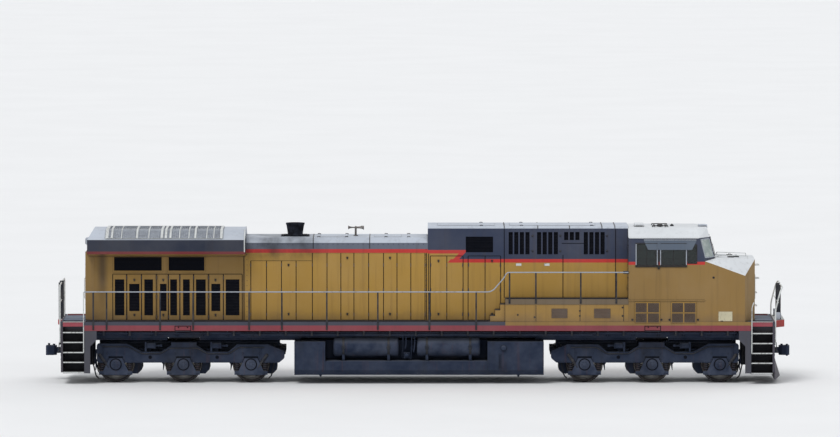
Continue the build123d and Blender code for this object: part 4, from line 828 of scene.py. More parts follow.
MATERIAL_MAKERS = {
    "radiator": lambda: painted("Radiator paint", radiator_zones),
    "engine": lambda: painted("Engine hood paint", engine_zones),
    "equipment": lambda: painted("Equipment hood paint", equipment_zones),
    "cab": lambda: painted("Cab paint", cab_zones),
    "nose": lambda: painted("Nose paint", nose_zones),
    "boxes": lambda: painted("Box paint", box_zones, low_dust=0.6),
    "sills": lambda: painted("Sill paint", sill_zones, low_dust=0.3),
    "pilots": lambda: painted("Pilot paint", pilot_zones),
    "steps": lambda: painted("Step paint", step_zones, low_dust=0.2),
    "awning": lambda: painted("Awning paint", srgb(88, 99, 114), low_dust=0.3),
    "yellow": lambda: painted("Yellow paint", "yellow"),
    "band": lambda: painted("Grey paint", "band", low_dust=0.3),
    "roof": lambda: painted("Roof paint", "roof", runs=0.8),
    "cab_roof": lambda: painted("Cab roof paint", "cab_roof", runs=0.25, chips=0.15),
    "deck": lambda: painted("Walkway paint", "deck", low_dust=0.3),
    "truck": cast_iron,
    "tank": lambda: cast_iron("Tank plate", 0.25, 0.35),
    "reservoir": lambda: cast_iron("Reservoir paint", 0.5, 0.15),
    # Journal castings take more pale patches than the frames: painted light that makes the boxes look lit
    "journal": lambda: cast_iron("Journal castings", 0.6, 0.25),
    "coupler": lambda: cast_iron("Coupler casting", 0.15, 0.4),
    "wheel": wheel_steel,
    "silver": lambda: edge_paint("Rail paint", "silver", 0.35),
    "white": lambda: edge_paint("White paint", "white", 0.55),
    "mesh": lambda: edge_paint("Brown mesh", "mesh", 0.3),
    "plate": lambda: edge_paint("Plate paint", "plate", 0.3),
    "riser": lambda: edge_paint("Riser paint", "sill_red", 0.4),
    "steel": lambda: bare_metal("Worn steel", srgb(110, 108, 106), 0.42),
    "spring": lambda: bare_metal("Spring steel", srgb(48, 48, 54), 0.6, 0.3, 0.25),
    "dark": dark_paint,
    "black": lambda: dark_paint("Louvres", (13, 16, 26), 0.03, 0.06),
    "soot": soot_black,
    "rubber": rubber,
    "glass": window_glass,
    "sky_reflection_glass": sky_reflection_glass,
    "lens": lamp_glass,
    "vinyl": chair_vinyl,
    "console": console_plastic,
}
MATERIALS = {}
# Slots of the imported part, with the materials whose pieces go by them
SLOT_MATERIALS = {
    "body_yellow": ("yellow", "band"),
    "roof_grey": ("roof", "cab_roof"),
    "frame_paint": ("deck", "riser"),
    "truck_grime": ("truck", "tank", "reservoir", "journal"),
    "cast_steel": ("spring", "coupler"),
    "wheel_steel": ("wheel",),
    "rail_paint": ("silver",),
    "rail_white": ("white", "plate"),
    "window_glass": ("glass", "sky_reflection_glass", "lens"),
    "cab_trim": ("console", "vinyl"),
    "sooty_steel": ("soot", "steel"),
    "dark_fittings": ("dark", "black", "rubber", "mesh"),
}
SLOTS = {key: slot for slot, keys in SLOT_MATERIALS.items() for key in keys}


def material(key):
    """The named material, built once."""
    if key not in MATERIALS:
        MATERIALS[key] = MATERIAL_MAKERS[key]()
    return MATERIALS[key]


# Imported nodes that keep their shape, by material
NODE_FINISHES = {
    "sills": ["underframe"],
    "pilots": ["pilot_front", "pilot_rear"],
    "steps": ["corner_steps"],
    "tank": ["fuel_tank"],
    "cab": ["cab_shell", "cab_door"],
    "cab_roof": ["cab_roof"],
    "glass": ["cab_windows"],
    "nose": ["nose", "nose_door"],
    "awning": ["sunshades"],
    "boxes": ["battery_boxes"],
    "equipment": ["equipment_hood", "inverter_cabinet"],
    "engine": ["engine_hood"],
    "radiator": ["radiator_hood"],
    "truck": ["engine_block", "truck_front_frame", "truck_rear_frame", "truck_front_motors",
              "truck_rear_motors"],
    "journal": ["truck_front_boxes", "truck_rear_boxes"],
    "coupler": ["coupler_front", "coupler_rear"],
}


class PaintBodywork(bpy.types.Operator):
    """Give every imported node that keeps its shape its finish"""
    bl_idname = "locomotive.paint_bodywork"
    bl_label = "Bodywork"

    def execute(self, context):
        for key, names in NODE_FINISHES.items():
            for name in names:
                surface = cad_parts[name].data
                surface.materials.clear()
                surface.materials.append(material(key))
        return {"FINISHED"}


# Half of a wheel's section: distance from the middle of the axle, radius
WHEEL_SECTION = [(0.0, 0.085), (0.640, 0.085), (0.640, 0.122), (0.668, 0.136), (0.684, 0.200),
                 (0.708, 0.330), (0.696, 0.430), (0.682, 0.470), (0.680, 0.545), (0.687, 0.557),
                 (0.698, 0.561), (0.709, 0.554), (0.716, 0.541), (0.726, 0.534), (0.745, 0.533),
                 (0.812, 0.529), (0.820, 0.522), (0.820, 0.470), (0.796, 0.456), (0.776, 0.420),
                 (0.770, 0.330), (0.786, 0.190), (0.806, 0.146), (0.842, 0.138), (0.846, 0.086),
                 (0.930, 0.086), (0.932, 0.080), (1.0990, 0.080)]
# The motor's gear on the axle between the wheels
GEAR_SECTION = ((0.615, 0.086), (0.615, 0.30), (0.636, 0.30), (0.636, 0.086))
AXLES = (-AXLE_SPACING, 0.0, AXLE_SPACING)
# Body of each truck, its middle, and the way from there to the middle of the machine
TRUCKS = (("truck_front", TRUCK_X, -1), ("truck_rear", -TRUCK_X, 1))


class MakeWheelsets(bpy.types.Operator):
    """Turn the wheels with their flanges, dished plates, hubs and axles"""
    bl_idname = "locomotive.make_wheelsets"
    bl_label = "Wheelsets"

    def execute(self, context):
        section = [(-y, radius) for y, radius in reversed(WHEEL_SECTION[1:])] + WHEEL_SECTION[1:]
        places = [centre + axle for _, centre, _ in TRUCKS for axle in reversed(AXLES)]
        for number, x in enumerate(places):
            name = "wheelset_%d" % (number + 1)
            shape = Shape().turned((x, 0, WHEEL_Z), (0, 1, 0), section, 72)
            shape.turned((x, 0, WHEEL_Z), (0, 1, 0), GEAR_SECTION, 48)
            finished(name + "_turned", shape, "wheel", name, [name], sharp=28.0)
        return {"FINISHED"}


class MakeBearings(bpy.types.Operator):
    """Cover the axle ends with bolted caps and stand coil springs on the boxes"""
    bl_idname = "locomotive.make_bearings"
    bl_label = "Axle bearings and springs"

    def execute(self, context):
        sizes = context.scene.locomotive_sizes
        face = BEARING_Y - 0.030
        section = [(face - 0.02, 0.149)] + [(face + out, radius) for out, radius in (
            (0.018, 0.149), (0.026, 0.142), (0.028, 0.118), (0.036, 0.112), (0.040, 0.096), (0.040, 0.050),
            (0.050, 0.042), (0.050, 0.002))]
        bolt_circle = 0.084
        for body, centre, _ in TRUCKS:
            caps, bolts, springs = Shape(), [], []
            for x in [centre + axle for axle in AXLES]:
                for side in (-1, 1):
                    caps.turned((x, 0, WHEEL_Z), (0, side, 0), section, 40)
                    bolts += [((x + bolt_circle * math.cos(turn), side * (face + 0.044),
                                WHEEL_Z + bolt_circle * math.sin(turn)), (0, side, 0)) for turn in turns(6)]
                    springs += [(x + foot, side * (FRAME_Y - 0.08), 0.330) for foot in (-0.41, 0.41)]
            bolted(caps, "truck", bolts, 0.9)
            finished(body + "_bearing_caps", caps, "journal", body)
            coils = pattern("springs").grown("spring", springs, Radius=sizes.spring_radius,
                                             Turns=sizes.spring_turns, Height=0.255)
            finished(body + "_springs", coils, "spring", body)
        return {"FINISHED"}


# Brake cylinder with its flanged cap and push rod
CYLINDER_SECTION = ((-0.004, 0.06), (0.0, 0.098), (0.018, 0.100), (0.020, 0.088), (0.235, 0.088),
                    (0.238, 0.102), (0.262, 0.102), (0.270, 0.080), (0.285, 0.030), (0.420, 0.022),
                    (0.425, 0.001))
# Ribs along the edges of the side frames: start and end, as distances from the truck's middle and heights
FRAME_RIBS = ((-1.66, 1.120, -1.26, 0.892), (-1.22, 0.880, -0.68, 0.880), (-0.64, 0.886, -0.38, 1.066),
              (0.42, 1.066, 0.68, 0.890), (0.72, 0.880, 1.33, 0.880), (1.36, 0.892, 1.60, 1.104),
              (1.66, 1.108, 2.48, 1.108), (-2.54, 1.128, -1.70, 1.128), (2.56, 1.092, 2.97, 0.920),
              (-1.52, 0.604, -0.50, 0.604), (0.50, 0.604, 1.52, 0.604), (2.52, 0.604, 2.86, 0.604))
FRAME_PIPE = ((2.42, 1.04), (1.66, 1.04), (1.36, 0.85), (0.72, 0.85), (0.42, 1.02), (-0.40, 1.02),
              (-0.70, 0.85), (-1.22, 0.85), (-1.66, 1.06), (-2.42, 1.06))
DAMPER_SECTION = ((0.0, 0.012), (0.02, 0.034), (0.24, 0.034), (0.245, 0.044), (0.50, 0.044), (0.52, 0.012))


class MakeTruckFittings(bpy.types.Operator):
    """Brakes, ribs, pipes, sanders and dampers on both trucks"""
    bl_idname = "locomotive.make_truck_fittings"
    bl_label = "Truck fittings"

    def execute(self, context):
        for truck in TRUCKS:
            for make in (self.brakes, self.rigging, self.pipes, self.ducts):
                make(*truck)
        return {"FINISHED"}

    def brakes(self, body, centre, inward):
        """Cylinders with their rods, clevises and brackets."""
        brakes = Shape()
        z = 1.090
        for offset in (-1.1, 0.86):
            for side in (-1, 1):
                x, y = centre + inward * offset, side * (FRAME_Y - 0.08)
                brakes.turned((x, y, z), (inward, 0, 0), CYLINDER_SECTION, 28)
                brakes.box(sorted(at(inward, inward * x, 0.40, 0.47)), about(y, 0.03), about(z, 0.035))
                x = centre + inward * (offset - 0.025)
                brakes.box(about(x, 0.028), at(side, FRAME_Y, -0.155, -0.005), (0.909, 1.20))
        finished(body + "_brake_gear", brakes, "truck", body, [body + "_brakes"], "cast_steel", bevel=0.006)

    def rigging(self, body, centre, inward):
        """Brake shoes and levers, painted shade as black rings round the bearing caps and black discs in the
        frame's holes, ribs, tie bars and bolts.
        """
        rigging, shade_fills, bolts = Shape(), Shape(), []
        for axle in AXLES:
            x = centre + inward * (axle - 0.575)
            arc = [(x + inward * 0.036 * (1 - (height / 0.2) ** 2) - inward * 0.03, WHEEL_Z + height)
                   for height in (-0.2, -0.1, 0.0, 0.1, 0.2)]
            back = [(x - inward * 0.045, z) for _, z in reversed(arc)]
            rigging.prism(arc + back, "y", (0.735, 0.805))
            rigging.bar((x - inward * 0.05, 0.86, 0.55), (x - inward * 0.02, 0.86, 0.97), 0.05, 0.03)
            rigging.tube([(x - inward * 0.04, 0.80, 0.55), (x - inward * 0.04, 0.93, 0.55)], 0.022)
            # Black ring round each bearing cap: painted shade in the gap round it
            shade_fills.turned((centre + axle, BEARING_Y - 0.045, WHEEL_Z), (0, 1, 0),
                           ((0.0, 0.16), (0.018, 0.18), (0.020, 0.18), (0.020, 0.14), (0.0, 0.14)), 32)
        # Black disc deep in each hole of the side frame: painted shade
        for x in (-0.991, 1.009):
            shade_fills.turned((centre + inward * x, FRAME_Y - 0.010, 0.748), (0, 1, 0),
                           ((0.0, 0.002), (0.0, 0.060), (0.006, 0.060), (0.006, 0.002)), 24)
        face = (FRAME_Y - 0.01, FRAME_Y + 0.012)
        for x0, z0, x1, z1 in FRAME_RIBS:
            rigging.bar((centre + inward * x0, sum(face) / 2, z0), (centre + inward * x1, sum(face) / 2, z1),
                        0.030, face[1] - face[0])
        for x in (-2.40, 2.30):
            rigging.box(about(centre + inward * x, 0.015), face, (0.62, 1.10))
        # Pedestal tie bars under the boxes
        for axle in AXLES:
            rigging.box(about(centre + inward * axle, 0.30), (BEARING_Y - 0.21, BEARING_Y - 0.11),
                        (0.196, 0.224))
        rigging.both_sides()
        shade_fills.both_sides()
        finished(body + "_hollows", shade_fills, "black", body, slot="truck_grime")
        for axle in AXLES:
            for side in (-1, 1):
                places = [(x, FRAME_Y + 0.004, z) for x in (-0.245, 0.245) for z in (0.66, 0.86)]
                places += [(x, BEARING_Y - 0.026, 0.262) for x in (-0.44, -0.38, 0.38, 0.44)]
                bolts += [((centre + axle + x, side * y, z), (0, side, 0)) for x, y, z in places]
        bolted(rigging, "truck", bolts, 1.3, Height=0.022)
        finished(body + "_rigging", rigging, "truck", body, bevel=0.004)

    def pipes(self, body, centre, inward):
        """Brake pipe along the frame, sand pipes at the ends, dampers on the outer axles."""
        pipes = Shape()
        y = FRAME_Y + 0.010
        pipes.tube([(centre + inward * x, y, z) for x, z in FRAME_PIPE], 0.011, 8)
        for end in (-1, 1):
            x = centre + end * (AXLE_SPACING + 0.70)
            pipes.tube([(x, 0.90, 1.12), (x, 0.80, 0.60), (x - end * 0.10, 0.76, 0.16),
                        (x - end * 0.18, 0.76, 0.10)],
                       0.020, 8, 0.1)
        for end in (-1, 1):
            pipes.turned((centre + end * AXLE_SPACING + end * 0.20, y - 0.015, 0.42),
                         Vector((end * 0.32, 0, 0.46)).normalized(), DAMPER_SECTION, 14)
        pipes.both_sides()
        finished(body + "_pipes", pipes, "dark", body)

    def ducts(self, body, centre, inward):
        """Blower ducts on the motors, with bellows along their sides."""
        ducts = Shape()
        for x0, x1 in ((-2.45, -0.36), (0.39, 2.86)):
            ends = sorted((centre + inward * x0, centre + inward * x1))
            ducts.box(ends, (-0.54, 0.54), (0.84, 1.195))
            for side in (-1, 1):
                louvres(ducts, (ends[0] + 0.05, ends[1] - 0.05), side * 0.555, (0.86, 1.18), "tank",
                        depth=0.05)
        finished(body + "_ducts", ducts, "tank", body)


RESERVOIRS = ((-2.516, -0.570), (-0.028, 1.865))
RESERVOIR_RADIUS, RESERVOIR_Z = 0.290, 1.066
# Straight part of the fuel tank's outer face
TANK_FACE = (0.37, 1.238)
FILLER_SECTION = ((0.0, 0.06), (0.10, 0.06), (0.10, 0.075), (0.13, 0.075), (0.14, 0.05), (0.14, 0.002))
COCK_SECTION = ((0.0, 0.04), (0.03, 0.04), (0.03, 0.02), (0.06, 0.02), (0.06, 0.001))


class MakeTankFittings(bpy.types.Operator):
    """Domed air reservoirs with straps, filler, gauge, valves and seams on the fuel tank"""
    bl_idname = "locomotive.make_tank_fittings"
    bl_label = "Tank and reservoirs"

    def execute(self, context):
        self.reservoirs()
        fittings, bolts = Shape(), []
        half = span("fuel_tank", 1)[1]
        for side in (-1, 1):
            # Filler neck with its cap, then the sight gauge in its frame
            fittings.turned((2.56, side * (half - 0.085), 1.02), (0, side, 0.35), FILLER_SECTION, 24)
            face = at(side, half, 0.0, 0.012)
            frame_round(fittings, (2.43, 2.47), face, (0.46, 0.86), 0.02)
            fittings.box((2.445, 2.455), face, (0.46, 0.86))
            for x in (-3.66, -2.78, 2.10, 3.737):
                fittings.box(about(x, 0.02), at(side, half, -0.01, 0.008), TANK_FACE)
            bolts += [((x, side * (half + 0.006), 1.19), (0, side, 0))
                      for x in (-3.62, -3.40, -3.18, -2.96, 2.26, 2.72, 2.94, 3.16, 3.38, 3.60)]
            # Lower skirt's weld line and drain cocks
            fittings.box((-3.67, 3.75), at(side, half, -0.01, 0.006), (0.385, 0.400))
            for x in (-2.9, 3.0):
                fittings.turned((x, side * (half - 0.2), 0.24), (0, 0, -1), COCK_SECTION, 12)
            # Valve cluster between the reservoirs
            for x, low, y in ((-0.47, 0.70, 1.10), (-0.38, 1.02, 1.26), (-0.21, 0.66, 1.18),
                              (-0.12, 0.92, 1.30)):
                fittings.tube([(x, side * y, low), (x + 0.03, side * (y + 0.05), 1.10),
                               (x + 0.03, side * 1.33, 1.30),
                               (x + 0.03, side * 1.33, 1.56)], 0.015, 8, 0.08)
            fittings.box((-0.42, -0.24), (side * 1.04, side * 1.20), (0.72, 0.90))
            fittings.box((-0.22, -0.08), (side * 1.02, side * 1.16), (0.96, 1.12))
            fittings.turned((-0.33, side * 1.20, 0.81), (0, side, 0),
                            ((0.0, 0.06), (0.04, 0.06), (0.06, 0.03), (0.06, 0.001)), 16)
        bolted(fittings, "tank", bolts)
        finished("fuel_tank_fittings", fittings, "tank", bevel=0.003)
        return {"FINISHED"}

    def reservoirs(self):
        """Tanks with domed ends, and the straps that hold them."""
        y = span("air_reservoirs", 1)[1] - RESERVOIR_RADIUS
        tanks, straps = Shape(), Shape()
        low_r, high_r = RESERVOIR_RADIUS - 0.01, RESERVOIR_RADIUS + 0.006
        for low, high in RESERVOIRS:
            length = high - low
            section = [(0.0, 0.004), (0.001, 0.16)]
            section += [(0.09 * (1 - math.cos(angle)), RESERVOIR_RADIUS * (0.68 + 0.32 * math.sin(angle)))
                        for angle in (0.0, 0.35, 0.7, 1.05, 1.3, math.pi / 2)]
            section += [(length - distance, radius) for distance, radius in reversed(section)]
            tanks.turned((low, y, RESERVOIR_Z), (1, 0, 0), section, 44)
            for x in (low + 0.30, high - 0.30):
                straps.turned((x - 0.03, y, RESERVOIR_Z), (1, 0, 0),
                              ((0.0, low_r), (0.0, high_r), (0.06, high_r), (0.06, low_r)), 44)
                straps.box(about(x, 0.05), (y + 0.24, y + 0.30), about(RESERVOIR_Z, 0.05))
        tanks.both_sides()
        straps.both_sides()
        finished("air_reservoir_tanks", tanks, "reservoir", "root", ["air_reservoirs"], sharp=50)
        finished("reservoir_straps", straps, "dark")


# Air lines under the sills: place across, height, radius, rear and front end
SILL_LINES = ((1.38, 1.50, 0.030, -9.7, 9.5), (1.30, 1.46, 0.022, -9.5, 9.3), (1.44, 1.44, 0.016, -5.3, 5.2),
              (1.21, 1.49, 0.038, -5.4, 5.4))
# The trucks stay under this height, so that they can swivel
DUCT_LOW = 1.245


class MakeSillPipes(bpy.types.Operator):
    """Air lines, cable trays and their hangers under the side sills"""
    bl_idname = "locomotive.make_sill_pipes"
    bl_label = "Pipes under the sills"

    def execute(self, context):
        lines, hangers, ducts, pads = Shape(), Shape(), Shape(), Shape()
        for y, z, radius, rear, front in SILL_LINES:
            lines.tube([(rear, y, z), (front, y, z)], radius, 10)
        lines.box((-4.9, 4.6), (0.98, 1.12), (1.40, 1.54))
        for way in (-1, 1):
            for x0, x1 in ((3.50, 6.52), (7.48, 9.64)):
                ducts.box(sorted((way * x0, way * x1)), (0.50, 0.92), (DUCT_LOW, 1.56))
                for x in (x0 + 0.2, (x0 + x1) / 2, x1 - 0.2):
                    ducts.box(about(way * x, 0.03), (0.49, 0.935), (DUCT_LOW, 1.56))
        # Trays between the ducts and the sills, and gussets under the deck
        ducts.box((-9.58, 9.58), (1.02, 1.17), (1.345, 1.50))
        for index in range(26):
            ducts.prism([(1.12, 1.345), (1.50, 1.569), (1.12, 1.569)], "x",
                        about(-9.45 + index * 0.756, 0.012))
        for index in range(25):
            x = -9.36 + index * 0.775
            if abs(abs(x) - TRUCK_X) >= 0.3:
                hangers.bar((x, 1.20, 1.43), (x, 1.47, 1.43), 0.012, 0.05, (1, 0, 0))
                hangers.bar((x, 1.47, 1.42), (x, 1.50, 1.60), 0.012, 0.05, (1, 0, 0))
        for x in (-TRUCK_X, TRUCK_X):
            frame_round(pads, about(x, 0.226), (SILL_Y - 0.002, SILL_Y + 0.005), (1.586, 1.706), 0.016)
        for shape in (ducts, lines, hangers, pads):
            shape.both_sides()
        finished("underfloor_ducts", ducts, "tank", bevel=0.006)
        finished("jack_pad_outlines", pads, "black")
        finished("sill_lines", lines, "tank")
        finished("sill_line_hangers", hangers, "dark")
        return {"FINISHED"}


# Radiator door grilles: rear, front, low, high
RADIATOR_GRILLES = ((-9.045, -8.763, 1.991, 3.070), (-8.617, -8.310, 2.119, 2.936),
                    (-8.165, -7.906, 1.991, 3.070), (-7.697, -7.501, 2.119, 2.936),
                    (-7.394, -7.189, 1.991, 3.070), (-7.010, -6.808, 1.991, 3.070),
                    (-6.623, -6.332, 1.991, 3.070), (-6.165, -5.897, 2.119, 2.936),
                    (-5.736, -5.325, 1.991, 3.070))
INTAKES = ((-9.066, -7.644, 3.330, 3.738), (-7.438, -6.370, 3.330, 3.738), (1.433, 2.248, 3.879, 4.347))
CABINET_REAR, CABINET_PITCH = 3.0, 0.6556
CABINET_GRILLES = [(CABINET_REAR + index * CABINET_PITCH + 0.08,
                    CABINET_REAR + (index + 1) * CABINET_PITCH - 0.08,
                    3.82, 4.40) for index in range(5)]
VENTS = [(start + index * 0.167, start + index * 0.167 + 0.123, low, 4.484)
         for start, count, low in ((2.713, 4, 3.816), (3.561, 4, 3.816), (4.370, 3, 4.242), (4.956, 4, 3.816))
         for index in range(count)]
BASE_GRILLES = [(x, x + 0.703) for x in (6.486, 7.572)]
BASE_ROWS = ((1.822, 2.098), (2.122, 2.406))
BASE_HEIGHT = (BASE_ROWS[0][0], BASE_ROWS[1][1])


class MakeGrilles(bpy.types.Operator):
    """Louvres and meshes in every opening of the hoods and the cab base"""
    bl_idname = "locomotive.make_grilles"
    bl_label = "Grilles"

    def execute(self, context):
        slats, vanes, cells, frames = Shape(), Shape(), Shape(), Shape()
        for side in (-1, 1):
            # Black beds behind the slats: painted shade in the recesses
            bed = at(side, HOOD_Y, -0.025, -0.020)
            for x0, x1, z0, z1 in RADIATOR_GRILLES:
                louvres(slats, (x0, x1), side * (HOOD_Y - 0.002), (z0, z1), "black")
                slats.box((x0, x1), bed, (z0, z1))
            for x0, x1, z0, z1 in INTAKES:
                louvres(slats, (x0, x1), side * (HOOD_Y - 0.008), (z0, z1), "black", True, 0.022)
                slats.box((x0, x1), bed, (z0, z1))
                for z in (z0 + (z1 - z0) / 3, z0 + (z1 - z0) * 2 / 3):
                    slats.box((x0, x1), at(side, HOOD_Y, -0.020, 0.004), about(z, 0.008))
        for x0, x1, z0, z1 in CABINET_GRILLES:
            louvres(slats, (x0, x1), CAB_Y - 0.012, (z0, z1), "black")
            # Black bed behind the cabinet's slats: painted shade
            slats.box((x0, x1), (CAB_Y - 0.025, CAB_Y - 0.020), (z0, z1))
        finished("hood_louvres", slats, "black", "root", ["hood_grilles"])

        for x0, x1, z0, z1 in VENTS:
            louvres(vanes, (x0 + 0.002, x1 - 0.002), -HOOD_Y + 0.045, (z0, z1), "black")
            # Black backing at the back of each slot: painted shade
            vanes.box((x0 + 0.001, x1 - 0.001), (-HOOD_Y + 0.060, -HOOD_Y + 0.066), (z0 + 0.001, z1 - 0.001))
        finished("vent_vanes", vanes, "black")

        for side in (-1, 1):
            for start, _ in BASE_GRILLES:
                for x in (start, start + 0.3695):
                    for z0, z1 in BASE_ROWS:
                        x1 = x + 0.3335
                        wires = pattern("screen").grown("black", Width=x1 - x, Height=z1 - z0, Pitch=0.024,
                                                        Wire=0.008)
                        middle = ((x + x1) / 2, side * (CAB_Y + 0.011), (z0 + z1) / 2)
                        cells.merge(wires, Matrix.Translation(middle))
            # Beds stand a little proud of the wall and of the sill below it
            for ends in BASE_GRILLES:
                cells.box(ends, at(side, CAB_Y, -0.025, 0.008), BASE_HEIGHT)
            face = at(side, CAB_Y, -0.003, 0.018)
            for start, end in BASE_GRILLES:
                frame_round(frames, (start, end), face, BASE_HEIGHT, 0.022)
                frames.box((start + 0.3355, start + 0.3675), face, BASE_HEIGHT)
                frames.box((start, end), face, (BASE_ROWS[0][1], BASE_ROWS[1][0]))
        finished("base_meshes", cells, "mesh")
        finished("base_grille_frames", frames, "yellow", bevel=0.003)
        return {"FINISHED"}


# Wide ribs over the screens with their widths, then the thin ones
ROOF_RIBS = ((-9.263, 0.090), (-9.114, 0.060), (-8.370, 0.060), (-7.626, 0.070), (-7.507, 0.070),
             (-7.373, 0.060), (-6.629, 0.060), (-5.855, 0.080))
THIN_RIBS = [(x, 0.028) for x in (-8.830, -8.020, -7.100, -6.820, -6.290, -6.080)]
SCREENS = (-9.263, -5.855)


class MakeRoofScreens(bpy.types.Operator):
    """Wire screens and ribs over the radiators"""
    bl_idname = "locomotive.make_roof_screens"
    bl_label = "Roof screens"

    def execute(self, context):
        pitch = context.scene.locomotive_sizes.mesh_pitch
        x0, x1 = SCREENS
        middle_x = (x0 + x1) / 2
        edge_y, edge_z = WING_Y - 0.06, 4.285 + 0.06 * 0.25 / 0.79
        half, top = 0.700, RADIATOR_TOP
        slope = math.hypot(edge_y - half, top - edge_z)
        screen, ribs, bed = Shape(), Shape(), Shape()
        panels = [(slope, (middle_x, side * (edge_y + half) / 2, (edge_z + top) / 2 + 0.016),
                   (0, side * (half - edge_y), top - edge_z)) for side in (-1, 1)]
        for height, middle, along in panels + [(2 * half, (middle_x, 0, top + 0.016), (0, 1, 0))]:
            wires = pattern("screen").grown("roof", Width=x1 - x0, Height=height, Pitch=pitch, Wire=0.008)
            screen.merge(wires, standing(middle, (1, 0, 0), along))
        outline = [(edge_y, edge_z), (half, top), (-half, top), (-edge_y, edge_z)]
        for low, high, places, shape in ((0.0, 0.012, ((middle_x, x1 - x0),), bed),
                                         (0.010, 0.030, ROOF_RIBS, ribs),
                                         (0.010, 0.024, THIN_RIBS, ribs)):
            layer = [(y, z + high) for y, z in outline] + [(y, z + low) for y, z in reversed(outline)]
            for x, width in places:
                shape.prism(layer, "x", about(x, width / 2))
        # Rails along the foot and the shoulder of each slope
        for y, z in ((edge_y, edge_z), (half, top)):
            for side in (-1, 1):
                ribs.box((x0, x1), (side * (y - 0.03), side * y), (z, z + 0.028))
        # Strip that closes the front end of each wing, painted white as a highlight on that edge
        strip = [(WING_Y + 0.004, 3.92), (WING_Y + 0.004, 4.287), (half, top + 0.010), (half, top - 0.02),
                 (WING_Y - 0.02, 4.27), (WING_Y - 0.02, 3.92)]
        for side in (-1, 1):
            ribs.prism([(side * y, z) for y, z in strip], "x",
                       (RADIATOR_FRONT - 0.030, RADIATOR_FRONT + 0.002))
        finished("roof_screen_bed", bed, "roof", "root", ["radiator_screens"])
        finished("roof_screen_wires", screen, "roof")
        finished("roof_screen_ribs", ribs, "white", slot="roof_grey", bevel=0.003)
        return {"FINISHED"}


ENGINE_DOOR_EDGES = (-4.984, -4.516, -4.070, -3.632, -3.147, -2.709, -2.296, -1.906, -1.466, -1.022, -0.620,
                     -0.207, 0.216)
RADIATOR_GAPS = (-8.691, -8.250, -7.797, -7.447, -7.105, -6.694, -6.246, -5.805)
EQUIPMENT_GAPS = (0.388, 0.868, 1.341, 1.516, 2.010, 2.463)
# Edges of the doors, with the heights of their hinges
HINGES = ((ENGINE_DOOR_EDGES, (2.02, 2.75, 3.50)), (RADIATOR_GAPS, (1.95, 2.55, 3.12)),
          (EQUIPMENT_GAPS, (2.02, 2.75, 3.50)))
LATCHES = [(x, z) for x, high in ((-3.858, 3.50), (-2.103, 3.712), (-0.829, 3.712), (0.618, 3.62), (2.218, 3.62))
           for z in (high, 2.032)]
LATCHES += [(x, z) for z in (3.052, 2.006) for x in (-8.463, -7.600, -6.040)]
DOOR_FOOT = 1.857
# Joints that show as dark lines: place along X, lowest and highest Z
SEAMS = [(x, DOOR_FOOT, 3.622 if x < -3.2 else 3.857) for x in ENGINE_DOOR_EDGES]
SEAMS += [(x, DOOR_FOOT, 3.216) for x in (-9.108,) + RADIATOR_GAPS + (-5.242,)]
SEAMS += [(x, DOOR_FOOT, 3.759) for x in (0.376, 0.868, 1.353, 1.504, 2.010, 2.475)]
SEAMS += [(0.262, DOOR_FOOT, 3.86), (0.325, DOOR_FOOT, 3.84), (2.582, 2.52, 4.57), (4.335, 2.53, 3.80),
          (5.905, 2.53, 4.57), (-5.190, DOOR_FOOT, 3.76)]
# Rear, front and height of the joints over the doors
TOP_SEAMS = ((-4.984, -3.147, 3.622), (-9.108, -5.242, 3.226), (0.376, 1.353, 3.770), (1.504, 2.475, 3.770),
             (4.300, 5.000, 4.146))
# Rows of bolts on the hood walls: first place, pitch, count, face and height
BOLT_ROWS = ((-5.08, 0.15, 36, HOOD_Y, 4.120), (-9.78, 0.155, 30, WING_Y, 4.245),
             (0.36, 0.16, 37, HOOD_Y, 4.555))
# On the left side the cabinet covers the wall ahead of this place
LEFT_END = 2.9


